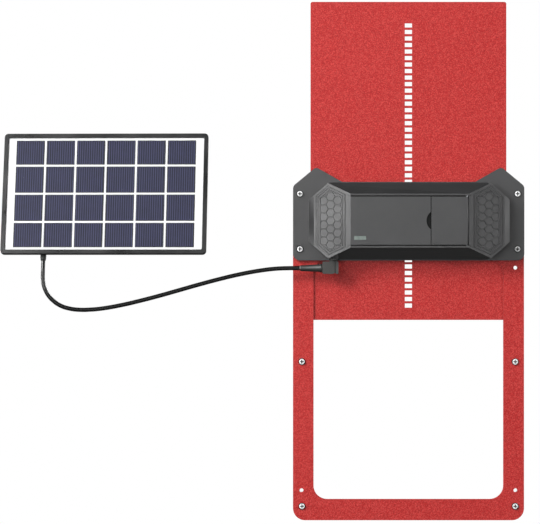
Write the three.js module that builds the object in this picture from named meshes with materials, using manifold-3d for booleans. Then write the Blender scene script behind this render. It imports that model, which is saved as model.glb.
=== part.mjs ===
// Automatic coop door: a red sheet-metal frame with a rack-driven sliding door, a grey drive housing
// across its top, and a small solar panel on a lead.
// Millimetres, +Z up. The wall is the plane Y = 0 and the front faces -Y.
// The origin is the middle of the sill, on the wall face.
import * as THREE from 'three';
import { mergeVertices } from 'three/addons/utils/BufferGeometryUtils.js';
import Module from 'manifold-3d';

const wasm = await Module();
wasm.setup();

// ---------------------------------------------------------------- sizes
// Doorway and frame
const OPENING_WIDTH = 222;
const OPENING_HEIGHT = 280;
const OPENING_RADIUS = 16;
const SIDE_WIDTH = 24;
const SILL_HEIGHT = 24.5;
const TOP_MARGIN = 4.55;
const FRAME_BOTTOM_RADIUS = 14;
const FRAME_TOP_RADIUS = 3;
const SHEET = 2;

// Sliding door and its rack of slots
const DOOR_SHEET = 2;
const DOOR_LAP = 3.5;
const DOOR_SILL_LAP = 8;
const DOOR_ABOVE_OPENING = 84;
const DOOR_SHOWN = 70.4;
const DOOR_RADIUS = 2.5;
const RACK_PITCH = 7.62;
const SLOT_HEIGHT = 4.9;
const RACK_TOP_MARGIN = 27.1;
const RACK_BOTTOM_MARGIN = 16.8;

// Clearances
const SEAT = 0.05;
const BUTT_GAP = 0.3;
const DOOR_GAP = 0.4;
const DOOR_SIDE_GAP = 0.5;
const RUNNING_GAP = 0.15;
const TOOTH_PLAY = 0.7;
const TOOTH_SIDE_PLAY = 0.525;
const CUT_PAST = 1;

// Screws and holes: distance in from the frame's outer edge, and height
const SCREW_RADIUS = 2;
const SCREW_CLEARANCE = 0.25;
const SCREW_HEAD_RADIUS = 4;
const SCREW_HEAD_HEIGHT = 2.6;
const SCREW_TIP_SHORT = 0.3;
const FRAME_SCREW_EDGE = 10.4;
const FRAME_SCREW_LOW = 8;
const FRAME_SCREW_HIGH = 160.9;
const WALL_HOLE_RADIUS = 2.3;
const WALL_HOLE_EDGE = 10;
const WALL_HOLE_LOW = 10.5;
const WALL_HOLE_HIGH = 9.3;
const HOUSING_SCREW_EDGE = 8;
const HOUSING_SCREW_ABOVE = 31.7;
const HOUSING_SCREW_BELOW = 32.8;

// Drive: pinion, spur stage and motor
const PINION_TEETH = 14;
const PINION_ABOVE_OPENING = 45.25;
const PINION_WIDTH = 7.4;
const PINION_TIP = 1.42;
const PINION_ROOT = 2.38;
const SHAFT_RADIUS = 2.5;
const BUSH_RADIUS = 4.2;
const BUSH_WIDTH = 5;
const PEDESTAL_HALF = 6.2;
const GEAR_MODULE = 0.8;
const DRIVEN_TEETH = 24;
const MOTOR_TEETH = 18;
const GEAR_WIDTH = 5;
const GEAR_SIDE_GAP = 4.3;
const LEFT_BUSH_GAP = 3;
const RIGHT_BUSH_GAP = 3.3;
const BRACKET_GAP = 1.5;
const GEAR_HEADROOM = 0.6;
const SHAFT_SOCKET = 3;
const GEAR_BACKLASH = 0.2;
const MOTOR_BACK_GAP = 2.18;
const MOTOR_SHAFT_RADIUS = 2;
const GEARBOX_RADIUS = 12.5;
const GEARBOX_LENGTH = 20;
const MOTOR_RADIUS = 12.1;
const MOTOR_LENGTH = 30.5;
const BRACKET_SHEET = 1.2;

// Housing
const BASE_SHEET = 2;
const GASKET_SHEET = 0.6;
const GASKET_WIDTH = 1.7;
const FLANGE_SHEET = 2.4;
const COVER_WALL = 2.5;
const PINION_HEADROOM = 2.7;
const WINDOW_CLEARANCE = 1.6;
const FLANGE_BELOW = 46;
const FLANGE_ABOVE = 45.6;
const FLANGE_SHOULDER = 40.8;
const FLANGE_PEAK_EDGE = 26.8;
const FLANGE_PEAK = 62.9;
const FLANGE_FOOT_RUN = 30.6;
const BAR_BASE_BELOW = 45.2;
const BAR_BASE_ABOVE = 44.9;
const BAR_RIM = 31.3;
const BAR_END_INBOARD = 1.5;
const RIM_CHAMFER = 1;
const FOLD_X = 68.5;
const APEX_INBOARD = 22;
const APEX_HALF = 43.6;
const BROW_INBOARD = 5.7;
const BROW_DROP = 7.8;
const TEMPLE_EDGE = 18.5;
const TEMPLE_DROP = 13;
const TEMPLE_HALF = 24.5;
const GROOVE_INSET = 2;
const GROOVE_WIDTH = 1.4;
const GROOVE_DEPTH = 1.3;
const BADGE_DEPTH = 1.2;
const BADGE_FOLD_MARGIN = 3;
const FOLD_REACH = 200;

// Control recess and its flap
const HINGE_FROM_FOLD = 1.8;
const RECESS_WIDTH = 37;
const LEDGE_HEIGHT = 3.3;
const RECESS_DEPTH = 14;
const RECESS_WALL = 1.8;
const LEDGE_WIDTH = 1.7;
const FLAP_SHEET = 2;
const FLAP_GAP = 0.8;
const HINGE_GAP = 0.3;
const HINGE_INBOARD = 3.7;
const HINGE_PIN_RADIUS = 0.7;
const KNUCKLE_RADIUS = 1.7;
const SEAL_SHEET = 0.4;
const NOTCH_HALF = 10;
const NOTCH_WIDTH = 5;
const NOTCH_DEPTH = 1.9;
const BUTTON_RADIUS = 4;
const BUTTON_PLAY = 0.3;
const BUTTON_PROUD = 2.5;
const BUTTON_FLANGE = 1;
const BUTTON_INBOARD = 18.5;
const BUTTON_PITCH = 14;
const BUTTON_TRAVEL = 0.6;
const BUTTON_FLANGE_DEPTH = 1.3;
const SWITCH_HEIGHT = 4.5;
const SWITCH_FROM_BUTTONS = 11.5;
const SLIDER_TRAVEL = 4;

// Sensor window, board, battery and socket
const LENS_X = -57.5;
const LENS_BELOW = 20;
const LENS_WIDTH = 14;
const LENS_HEIGHT = 4.6;
const LENS_GAP = 0.2;
const SENSOR_DEPTH = 3.8;
const SENSOR_BOARD_SHEET = 1;
const SENSOR_MOTOR_GAP = 0.5;
const BOARD_SHEET = 1.6;
const CELL_RADIUS = 9.3;
const CELL_LENGTH = 65;
const CELL_ABOVE = 16;
const SOCKET_X = -88;
const SOCKET_FORWARD = 13;
const SOCKET_RECESS = 0.6;
const SOCKET_WALL = 1.1;
const SOCKET_HEIGHT = 17;
const SOCKET_BOSS_WALL = 2.3;
const SOCKET_BOSS_SHORT = 3;
const PLUG_BARREL_RADIUS = 2.75;
const PLUG_BARREL_BORE = 1.3;
const PLUG_PLAY = 0.35;
const PLUG_HEIGHT = 14.5;
const PLUG_HALF_DEPTH = 5.5;
const PLUG_BEHIND = 5.8;
const PLUG_NECK_RADIUS = 5;
const PLUG_NECK_HEIGHT = 2.4;
const PLUG_REACH = 13;
const PLUG_CABLE_HEIGHT = 6.7;
const RELIEF_LENGTH = 25.75;

// Solar panel, in its own frame: middle of its front face, leaning back
const PANEL_WIDTH = 238;
const PANEL_HEIGHT = 146;
const PANEL_RADIUS = 4.5;
const PANEL_RIM = 4.8;
const PANEL_RIM_DEPTH = 6;
const PANEL_PLACE = [-353.3, -45, 369.3];
const PANEL_LEAN = 17;
const PANEL_TURN = 3;
const TRAY_INSET = 7;
const TRAY_DEPTH = 9.5;
const TRAY_WALL = 2;
const JUNCTION_SIZE = [56, 11, 40];
const INSERT_RADIUS = 4.5;
const INSERT_BORE = 3.175;
const INSERT_DEPTH = 7.7;
const FILM_FRONT = 0.8;
const FILM_BACK = 1.4;
const CELLS_BACK = 4.4;
const GLAND_X = -70;
const GLAND_BEHIND_RIM = 4.6;
const GLAND_LENGTH = 12;

// Lead: its middle line from the gland to the plug, chosen by hand
const LEAD_RADIUS = 2.5;
const LEAD_SIDES = 10;
const LEAD_STEPS = 48;
const LEAD_POINTS = [
  [-423.9, -54.3, 290.6], [-424.0, -55.8, 285.5], [-424.1, -57.2, 280], [-424, -58.4, 270],
  [-422.9, -59, 263], [-420.8, -59.2, 257], [-417.6, -59.1, 251.2], [-412, -58.7, 245],
  [-403.5, -58, 239.2], [-392.5, -57, 235.7], [-381, -55.8, 234.4], [-369.8, -54.6, 234.6],
  [-358, -53.4, 235.6], [-335, -50.4, 239.5], [-312, -47, 244.8], [-289, -43.5, 250.8],
  [-266, -39.9, 257.3], [-243, -36.2, 263.8], [-220, -32.3, 269.9], [-197, -28.5, 275.3],
  [-173.5, -25.3, 279.6], [-155, -23.2, 281.8], [-139, -22.1, 282.4], [-127.1, -22, 282.4],
];

// ---------------------------------------------------------------- places worked out from the sizes
const SCREW_HOLE = SCREW_RADIUS + SCREW_CLEARANCE;
const OPENING_HALF = OPENING_WIDTH / 2;
const FRAME_HALF = OPENING_HALF + SIDE_WIDTH;
const FRAME_BOTTOM = -SILL_HEIGHT / 2;
const OPENING_BOTTOM = SILL_HEIGHT / 2;
const OPENING_TOP = OPENING_BOTTOM + OPENING_HEIGHT;
const DRIVE_Z = OPENING_TOP + PINION_ABOVE_OPENING;
const FRAME_TOP = DRIVE_Z + HOUSING_SCREW_ABOVE + TOP_MARGIN;
const FRAME_MIDDLE = OPENING_BOTTOM + FRAME_SCREW_HIGH;

// Layers from the wall outwards, each as the Y of its face
const BACK_FRAME_FRONT = -SHEET;
const RAIL_BACK = BACK_FRAME_FRONT - SEAT;
const CHANNEL = DOOR_SHEET + 2 * DOOR_GAP + 2 * SEAT;
const FRONT_FRAME_BACK = BACK_FRAME_FRONT - CHANNEL;
const RAIL_FRONT = FRONT_FRAME_BACK + SEAT;
const FRONT_FRAME_FRONT = FRONT_FRAME_BACK - SHEET;
const BASE_BACK = FRONT_FRAME_FRONT - SEAT;
const BASE_FRONT = BASE_BACK - BASE_SHEET;
const GASKET_BACK = BASE_FRONT - SEAT;
const FLANGE_BACK = GASKET_BACK - GASKET_SHEET - SEAT;
const FLANGE_FRONT = FLANGE_BACK - FLANGE_SHEET;
const DOOR_MIDDLE = BACK_FRAME_FRONT - CHANNEL / 2;

const DOOR_HALF = OPENING_HALF + DOOR_LAP;
const DOOR_HEIGHT = OPENING_HEIGHT + DOOR_SILL_LAP + DOOR_ABOVE_OPENING;
const DOOR_BOTTOM = OPENING_TOP - DOOR_SHOWN;
const DOOR_CLOSED = OPENING_BOTTOM - DOOR_SILL_LAP;
const RAIL_INNER = DOOR_HALF + DOOR_SIDE_GAP;
const SLOT_WIDTH = PINION_WIDTH + 2 * TOOTH_SIDE_PLAY;

const PITCH_RADIUS = (RACK_PITCH * PINION_TEETH) / (2 * Math.PI);
const TIP_RADIUS = PITCH_RADIUS + PINION_TIP;
const DRIVE_Y = DOOR_MIDDLE - PITCH_RADIUS;
const WINDOW_HALF_HEIGHT = Math.sqrt(TIP_RADIUS ** 2 - (BASE_FRONT - DRIVE_Y) ** 2) + WINDOW_CLEARANCE;
const WINDOW_HALF_WIDTH = PINION_WIDTH / 2 + WINDOW_CLEARANCE;

const MOTOR_Y = BASE_FRONT - Math.max(GEARBOX_RADIUS, MOTOR_RADIUS) - MOTOR_BACK_GAP;
const SENSOR_BOARD_BACK = SENSOR_DEPTH + SENSOR_BOARD_SHEET;
const COVER_INSIDE = Math.min(DRIVE_Y - TIP_RADIUS - PINION_HEADROOM,
  MOTOR_Y - MOTOR_RADIUS - SENSOR_BOARD_BACK - SENSOR_MOTOR_GAP);
const COVER_FRONT = COVER_INSIDE - COVER_WALL;

const TEMPLE_X = FRAME_HALF - TEMPLE_EDGE;
const BROW_X = TEMPLE_X - BROW_INBOARD;
const APEX_X = TEMPLE_X - APEX_INBOARD;
const BAR_HALF_LENGTH = APEX_X - BAR_END_INBOARD;
const FLANGE_PEAK_X = FRAME_HALF - FLANGE_PEAK_EDGE;
const FLANGE_FOOT_X = FLANGE_PEAK_X - FLANGE_FOOT_RUN;

const GEAR_RIGHT = -PINION_WIDTH / 2 - GEAR_SIDE_GAP;
const GEAR_LEFT = GEAR_RIGHT - GEAR_WIDTH;
const PEDESTAL_LEFT_X = GEAR_LEFT - LEFT_BUSH_GAP - BUSH_WIDTH;
const PEDESTAL_RIGHT_X = PINION_WIDTH / 2 + RIGHT_BUSH_GAP;
const MESH_DISTANCE = (GEAR_MODULE * (DRIVEN_TEETH + MOTOR_TEETH)) / 2 + GEAR_BACKLASH;
const MOTOR_Z = DRIVE_Z - Math.sqrt(MESH_DISTANCE ** 2 - (DRIVE_Y - MOTOR_Y) ** 2);
const MESH_ANGLE = Math.atan2(MOTOR_Z - DRIVE_Z, MOTOR_Y - DRIVE_Y);
const BRACKET_X = PEDESTAL_LEFT_X - BRACKET_GAP - BRACKET_SHEET;
const GEARBOX_RIGHT = BRACKET_X - BUTT_GAP;
const GEARBOX_LEFT = GEARBOX_RIGHT - GEARBOX_LENGTH;
const MOTOR_RIGHT = GEARBOX_LEFT - BUTT_GAP;

const FLAP_HALF = BAR_RIM - GROOVE_INSET - GROOVE_WIDTH;
const RECESS_OPENING_HALF = BAR_RIM - GROOVE_INSET;
const RECESS_HALF = RECESS_OPENING_HALF - LEDGE_HEIGHT;
const HINGE_X = FOLD_X - HINGE_FROM_FOLD;
const HINGE_Y = COVER_FRONT + KNUCKLE_RADIUS;
const RECESS_RIGHT = HINGE_X - HINGE_INBOARD;
const RECESS_LEFT = RECESS_RIGHT - RECESS_WIDTH;
const RECESS_OPENING_LEFT = RECESS_LEFT - LEDGE_WIDTH;
const RECESS_OPENING_RIGHT = HINGE_X + KNUCKLE_RADIUS + HINGE_GAP;
const LEDGE_FRONT = COVER_FRONT + FLAP_SHEET + SEAL_SHEET + 2 * SEAT;
const BUTTON_X = RECESS_LEFT + BUTTON_INBOARD;
const SWITCH_X = BUTTON_X + SWITCH_FROM_BUTTONS;
const BUTTON_HOLE = BUTTON_RADIUS + BUTTON_PLAY;
const FLAP_LEFT = RECESS_OPENING_LEFT + FLAP_GAP;
const FLOOR_FRONT = COVER_FRONT + RECESS_DEPTH;
const FLOOR_BACK = FLOOR_FRONT + RECESS_WALL;
const BUTTON_BACK = FLOOR_BACK + BUTTON_FLANGE_DEPTH;
const SWITCH_FRONT = BUTTON_BACK + BUTTON_TRAVEL + 0.1;
const BOARD_FRONT = SWITCH_FRONT + SWITCH_HEIGHT;
const BOARD_BACK = BOARD_FRONT + BOARD_SHEET;

const SOCKET_Y = BASE_FRONT - SOCKET_FORWARD;
const SOCKET_BORE = PLUG_BARREL_RADIUS + PLUG_PLAY;
const SOCKET_RADIUS = SOCKET_BORE + SOCKET_WALL;
const SOCKET_BOSS = SOCKET_RADIUS + SOCKET_BOSS_WALL;
const SOCKET_BOTTOM = DRIVE_Z - Math.max(BAR_BASE_BELOW - SOCKET_RECESS, APEX_HALF + 1);
const PLUG_TOP = SOCKET_BOTTOM - BUTT_GAP;

// ---------------------------------------------------------------- materials
const standard = (color, roughness, metalness) =>
  new THREE.MeshStandardMaterial({ color, roughness, metalness });
const RED = standard(0xc74240, 0.55, 0.2);
const ALUMINIUM = standard(0xb9bcbf, 0.45, 0.9);
const CHROME = standard(0xe4e6e8, 0.2, 1);
const STEEL = standard(0x9fa3a6, 0.35, 1);
const BRASS = standard(0xc9a24a, 0.35, 1);
const GREY_PLASTIC = standard(0x5e5e5e, 0.6, 0);
const DARK_PLASTIC = standard(0x2c2c2e, 0.55, 0);
const WHITE_PLASTIC = standard(0xe6e6e2, 0.5, 0);
const RUBBER = standard(0x161616, 0.85, 0);
const LENS = standard(0x82908a, 0.2, 0);
const BOARD_GREEN = standard(0x1f5a3a, 0.6, 0);
const CELL_BLUE = standard(0x46475f, 0.3, 0.2);
const GLASS = standard(0xdfe6ea, 0.1, 0);
const WRAP = standard(0x2f6fb0, 0.4, 0);

// ---------------------------------------------------------------- geometry helpers
const X_AXIS = new THREE.Vector3(1, 0, 0);
const Y_AXIS = new THREE.Vector3(0, 1, 0);
const Z_AXIS = new THREE.Vector3(0, 0, 1);

// A flat outline (horizontal, vertical) made solid along each axis, between two places on it.
function solidAlong(shape, from, to, basis, lift) {
  const geometry = new THREE.ExtrudeGeometry(shape, {
    depth: Math.abs(to - from),
    bevelEnabled: false,
    steps: 1,
    curveSegments: 8,
  });
  return geometry.applyMatrix4(basis).translate(lift.x, lift.y, lift.z);
}
// The outline's axes are Y and Z.
const alongX = (shape, low, high) =>
  solidAlong(shape, low, high, new THREE.Matrix4().makeBasis(Y_AXIS, Z_AXIS, X_AXIS),
    new THREE.Vector3(low, 0, 0));
// The outline's axes are X and Z, and the solid runs from the back face forwards.
const alongY = (shape, back, front) =>
  solidAlong(shape, back, front, new THREE.Matrix4().makeBasis(X_AXIS, Z_AXIS, Y_AXIS.clone().negate()),
    new THREE.Vector3(0, back, 0));
// The outline's axes are X and Y.
const alongZ = (shape, low, high) =>
  solidAlong(shape, low, high, new THREE.Matrix4(), new THREE.Vector3(0, 0, low));

function boxOf(x, y, z) {
  const geometry = new THREE.BoxGeometry(x[1] - x[0], y[1] - y[0], z[1] - z[0]);
  return geometry.translate((x[0] + x[1]) / 2, (y[0] + y[1]) / 2, (z[0] + z[1]) / 2);
}

// A round bar along an axis, from one place to another, at the two other coordinates.
function barX(radius, from, to, y, z, sides = 32) {
  const geometry = new THREE.CylinderGeometry(radius, radius, to - from, sides);
  return geometry.rotateZ(Math.PI / 2).translate((from + to) / 2, y, z);
}
function barY(radius, from, to, x, z, sides = 24) {
  const geometry = new THREE.CylinderGeometry(radius, radius, to - from, sides);
  return geometry.translate(x, (from + to) / 2, z);
}
function barZ(radius, from, to, x, y, sides = 24) {
  const geometry = new THREE.CylinderGeometry(radius, radius, to - from, sides);
  return geometry.rotateX(Math.PI / 2).translate(x, y, (from + to) / 2);
}

// A turned solid: profile points are (radius, place along the axis), closed on the axis or on themselves.
function turned(profile, sides, axis) {
  const points = profile.map(([radius, along]) => new THREE.Vector2(radius, along));
  const geometry = new THREE.LatheGeometry(points, sides);
  const turn = new THREE.Quaternion().setFromUnitVectors(Y_AXIS, axis);
  return geometry.applyQuaternion(turn);
}

// Corner points [a, b, radius] in anticlockwise order, with each corner rounded by an arc.
function rounded(corners, segments = 6) {
  const points = [];
  corners.forEach(([a, b, radius = 0], index) => {
    const here = new THREE.Vector2(a, b);
    if (!radius) {
      points.push(here);
      return;
    }
    const before = new THREE.Vector2(...corners.at(index - 1));
    const after = new THREE.Vector2(...corners[(index + 1) % corners.length]);
    const back = before.sub(here).normalize();
    const on = after.sub(here).normalize();
    const half = Math.acos(back.dot(on)) / 2;
    const centre = here.clone().addScaledVector(back.clone().add(on).normalize(), radius / Math.sin(half));
    const start = here.clone().addScaledVector(back, radius / Math.tan(half)).sub(centre);
    const finish = here.clone().addScaledVector(on, radius / Math.tan(half)).sub(centre);
    const sweep = Math.atan2(start.cross(finish), start.dot(finish));
    for (let step = 0; step <= segments; step += 1) {
      const angle = (sweep * step) / segments;
      points.push(start.clone().rotateAround(new THREE.Vector2(), angle).add(centre));
    }
  });
  return points;
}

const shapeOf = (points, holes = []) => {
  const shape = new THREE.Shape(points);
  shape.holes = holes.map((hole) => new THREE.Path(hole));
  return shape;
};
const rectangle = (a0, a1, b0, b1, radius = 0) =>
  rounded([[a0, b0, radius], [a1, b0, radius], [a1, b1, radius], [a0, b1, radius]]);
const circle = (a, b, radius, sides = 20) =>
  Array.from({ length: sides }, (_, index) => {
    const angle = (2 * Math.PI * index) / sides;
    return new THREE.Vector2(a + radius * Math.cos(angle), b + radius * Math.sin(angle));
  });

// A closed outline moved inwards by a distance, each side parallel to itself.
function inset(points, distance) {
  return points.map((point, index) => {
    const before = points.at(index - 1);
    const after = points[(index + 1) % points.length];
    const inDirection = point.clone().sub(before).normalize();
    const outDirection = after.clone().sub(point).normalize();
    const inNormal = new THREE.Vector2(-inDirection.y, inDirection.x);
    const outNormal = new THREE.Vector2(-outDirection.y, outDirection.x);
    const middle = inNormal.clone().add(outNormal).normalize();
    return point.clone().addScaledVector(middle, distance / middle.dot(inNormal));
  });
}

function toSolid(geometry) {
  const bare = geometry.clone();
  bare.deleteAttribute('normal');
  bare.deleteAttribute('uv');
  const merged = mergeVertices(bare, 1e-4);
  return new wasm.Manifold(new wasm.Mesh({
    numProp: 3,
    vertProperties: new Float32Array(merged.attributes.position.array),
    triVerts: new Uint32Array(merged.index.array),
  }));
}
function toGeometry(solid) {
  const mesh = solid.getMesh();
  const geometry = new THREE.BufferGeometry();
  geometry.setAttribute('position', new THREE.BufferAttribute(new Float32Array(mesh.vertProperties), 3));
  geometry.setIndex(new THREE.BufferAttribute(new Uint32Array(mesh.triVerts), 1));
  geometry.computeVertexNormals();
  return geometry;
}
const joined = (...pieces) => pieces.map(toSolid).reduce((whole, piece) => whole.add(piece));
const cutBy = (solid, ...cutters) =>
  cutters.map(toSolid).reduce((rest, cutter) => rest.subtract(cutter), solid);

// Teeth as [height over the pitch circle, half thickness] pairs from root to tip, repeated round.
function toothed(teeth, pitchRadius, profile, phase, bore) {
  const points = [];
  for (let tooth = 0; tooth < teeth; tooth += 1) {
    const middle = phase + (2 * Math.PI * tooth) / teeth;
    const rising = profile.map(([height, half]) => [pitchRadius + height, -half]);
    const falling = profile.map(([height, half]) => [pitchRadius + height, half]).reverse();
    for (const [radius, across] of [...rising, ...falling]) {
      const angle = middle + Math.asin(across / radius);
      points.push(new THREE.Vector2(radius * Math.cos(angle), radius * Math.sin(angle)));
    }
  }
  return shapeOf(points, [circle(0, 0, bore, 24)]);
}

const group = new THREE.Group();
function add(name, geometry, material, parent = group) {
  const mesh = new THREE.Mesh(geometry, material);
  mesh.name = name;
  parent.add(mesh);
  return mesh;
}

// ---------------------------------------------------------------- frame
const bothSides = (x, z) => [[-x, z], [x, z]];
const FRAME_SCREWS = [
  ...bothSides(FRAME_HALF - FRAME_SCREW_EDGE, FRAME_MIDDLE),
  ...bothSides(FRAME_HALF - FRAME_SCREW_EDGE, OPENING_BOTTOM - FRAME_SCREW_LOW),
];
const HOUSING_SCREWS = [
  ...bothSides(FRAME_HALF - HOUSING_SCREW_EDGE, DRIVE_Z + HOUSING_SCREW_ABOVE),
  ...bothSides(FRAME_HALF - HOUSING_SCREW_EDGE, DRIVE_Z - HOUSING_SCREW_BELOW),
];
const WALL_HOLES = [
  ...bothSides(FRAME_HALF - WALL_HOLE_EDGE, OPENING_TOP - WALL_HOLE_HIGH),
  ...bothSides(FRAME_HALF - WALL_HOLE_EDGE, OPENING_BOTTOM + WALL_HOLE_LOW),
];
const stackHoles = (side = 0) => [
  ...[...FRAME_SCREWS, ...HOUSING_SCREWS].map(([x, z]) => [x, z, SCREW_HOLE]),
  ...WALL_HOLES.map(([x, z]) => [x, z, WALL_HOLE_RADIUS]),
].filter(([x]) => side === 0 || Math.sign(x) === side).map(([x, z, radius]) => circle(x, z, radius));

const DRIVE_WINDOW = rectangle(-WINDOW_HALF_WIDTH, WINDOW_HALF_WIDTH,
  DRIVE_Z - WINDOW_HALF_HEIGHT, DRIVE_Z + WINDOW_HALF_HEIGHT, 1.5);

function framePlate() {
  const outline = rounded([
    [-FRAME_HALF, FRAME_BOTTOM, FRAME_BOTTOM_RADIUS], [FRAME_HALF, FRAME_BOTTOM, FRAME_BOTTOM_RADIUS],
    [FRAME_HALF, FRAME_TOP, FRAME_TOP_RADIUS], [-FRAME_HALF, FRAME_TOP, FRAME_TOP_RADIUS],
  ], 10);
  const opening = rounded([
    [-OPENING_HALF, OPENING_BOTTOM, OPENING_RADIUS], [OPENING_HALF, OPENING_BOTTOM, OPENING_RADIUS],
    [OPENING_HALF, OPENING_TOP, OPENING_RADIUS], [-OPENING_HALF, OPENING_TOP, OPENING_RADIUS],
  ], 10);
  return shapeOf(outline, [opening, DRIVE_WINDOW, ...stackHoles()]);
}

function sideRail(side) {
  const corners = [
    [RAIL_INNER, FRAME_BOTTOM], [FRAME_HALF, FRAME_BOTTOM, FRAME_BOTTOM_RADIUS],
    [FRAME_HALF, FRAME_TOP, FRAME_TOP_RADIUS], [RAIL_INNER, FRAME_TOP],
  ].map(([x, z, radius]) => [x * side, z, radius]);
  return shapeOf(rounded(side > 0 ? corners : corners.reverse(), 10), stackHoles(side));
}

// Pan head with a crossed recess, on a plain shank that points at the wall.
function panScrew([x, z], seatY) {
  const head = SCREW_HEAD_HEIGHT;
  const length = -seatY - SCREW_TIP_SHORT;
  const profile = [
    [0, -length], [SCREW_RADIUS, -length], [SCREW_RADIUS, 0], [SCREW_HEAD_RADIUS, 0],
    [SCREW_HEAD_RADIUS, head * 0.45], [SCREW_HEAD_RADIUS * 0.8, head * 0.85], [0, head],
  ];
  const body = toSolid(turned(profile, 20, Y_AXIS.clone().negate()));
  const bar = [SCREW_HEAD_RADIUS * 0.55, SCREW_HEAD_RADIUS * 0.14];
  const recess = [bar, [bar[1], bar[0]]].map(([a, b]) => boxOf([-a, a], [-head - 1, -head * 0.45], [-b, b]));
  return toGeometry(cutBy(body, ...recess)).translate(x, seatY - SEAT, z);
}

function buildFrame() {
  add('back_frame', alongY(framePlate(), 0, BACK_FRAME_FRONT), RED);
  add('left_rail', alongY(sideRail(-1), RAIL_BACK, RAIL_FRONT), ALUMINIUM);
  add('right_rail', alongY(sideRail(1), RAIL_BACK, RAIL_FRONT), ALUMINIUM);
  const sill = rectangle(-RAIL_INNER + BUTT_GAP, RAIL_INNER - BUTT_GAP, FRAME_BOTTOM, DOOR_CLOSED - BUTT_GAP);
  add('bottom_rail', alongY(shapeOf(sill), RAIL_BACK, RAIL_FRONT), ALUMINIUM);
  add('front_frame', alongY(framePlate(), FRONT_FRAME_BACK, FRONT_FRAME_FRONT), RED);
  FRAME_SCREWS.forEach((place, index) => {
    add(`frame_screw_${index + 1}`, panScrew(place, FRONT_FRAME_FRONT), CHROME);
  });
}

// ---------------------------------------------------------------- sliding door
const SLOT_COUNT = Math.floor((DOOR_HEIGHT - RACK_TOP_MARGIN - RACK_BOTTOM_MARGIN) / RACK_PITCH + 1e-6) + 1;
const FIRST_SLOT = DOOR_BOTTOM + RACK_BOTTOM_MARGIN;

function buildDoor() {
  const outline = rectangle(-DOOR_HALF, DOOR_HALF, DOOR_BOTTOM, DOOR_BOTTOM + DOOR_HEIGHT, DOOR_RADIUS);
  const slots = Array.from({ length: SLOT_COUNT }, (_, index) => {
    const middle = FIRST_SLOT + index * RACK_PITCH;
    return rectangle(-SLOT_WIDTH / 2, SLOT_WIDTH / 2, middle - SLOT_HEIGHT / 2, middle + SLOT_HEIGHT / 2);
  });
  const back = DOOR_MIDDLE + DOOR_SHEET / 2;
  add('sliding_door', alongY(shapeOf(outline, slots), back, back - DOOR_SHEET), RED);
}

// ---------------------------------------------------------------- housing
const flangeOutline = () => {
  const side = [
    [FRAME_HALF, DRIVE_Z - FLANGE_BELOW, 8], [FRAME_HALF, DRIVE_Z + FLANGE_SHOULDER, 6],
    [FLANGE_PEAK_X, DRIVE_Z + FLANGE_PEAK, 5], [FLANGE_FOOT_X, DRIVE_Z + FLANGE_ABOVE, 3],
  ];
  const mirrored = side.map(([x, z, radius]) => [-x, z, radius]).reverse();
  return rounded([...side, ...mirrored]);
};

// The dumbbell that the raised block shows from the front: two hexagons joined by the bar.
const dumbbell = () => {
  const right = [
    [FOLD_X, -BAR_RIM], [APEX_X, -APEX_HALF], [TEMPLE_X, -TEMPLE_HALF],
    [TEMPLE_X, TEMPLE_HALF], [APEX_X, APEX_HALF], [FOLD_X, BAR_RIM],
  ];
  const left = right.map(([x, z]) => [-x, z]).reverse();
  return [...right, ...left].map(([x, z]) => new THREE.Vector2(x, z + DRIVE_Z));
};

// The block seen from above: flat across the bar, then folded back over each hexagon.
function foldProfile(shift, sideInset) {
  const right = [
    [TEMPLE_X - sideInset, FLANGE_BACK + 2], [TEMPLE_X - sideInset, COVER_FRONT + TEMPLE_DROP + shift],
    [BROW_X, COVER_FRONT + BROW_DROP + shift], [FOLD_X, COVER_FRONT + shift],
  ];
  const left = right.map(([x, y]) => [-x, y]).reverse();
  return shapeOf([...right, ...left].map(([x, y]) => new THREE.Vector2(x, y)));
}

const foldedSolid = (shift, sideInset) =>
  toSolid(alongZ(foldProfile(shift, sideInset), DRIVE_Z - FOLD_REACH / 2, DRIVE_Z + FOLD_REACH / 2));

// The bar seen from its end: steep slopes from the flange up to the chamfered rim.
const barProfile = (back, chamfer) => [
  [back, DRIVE_Z - BAR_BASE_BELOW], [back, DRIVE_Z + BAR_BASE_ABOVE],
  [FLANGE_FRONT, DRIVE_Z + BAR_BASE_ABOVE], [COVER_FRONT + chamfer, DRIVE_Z + BAR_RIM],
  [COVER_FRONT, DRIVE_Z + BAR_RIM - chamfer], [COVER_FRONT, DRIVE_Z - BAR_RIM + chamfer],
  [COVER_FRONT + chamfer, DRIVE_Z - BAR_RIM], [FLANGE_FRONT, DRIVE_Z - BAR_BASE_BELOW],
].map(([y, z]) => new THREE.Vector2(y, z));

// The whole block set in by a wall from its outside, from a back plane forwards.
function raisedBlock(wall, back) {
  const hexagons = alongY(shapeOf(inset(dumbbell(), wall)), back, COVER_FRONT - 1);
  const barOutline = inset(barProfile(back + wall, RIM_CHAMFER + wall / 2), wall);
  const bar = alongX(shapeOf(barOutline), -BAR_HALF_LENGTH + wall, BAR_HALF_LENGTH - wall);
  return toSolid(hexagons).add(toSolid(bar)).intersect(foldedSolid(wall, wall));
}

// A skin just under the block's front, where grooves and badges are sunk.
function frontSkin(depth) {
  return foldedSolid(-1, 0).subtract(foldedSolid(depth, 0));
}

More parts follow.
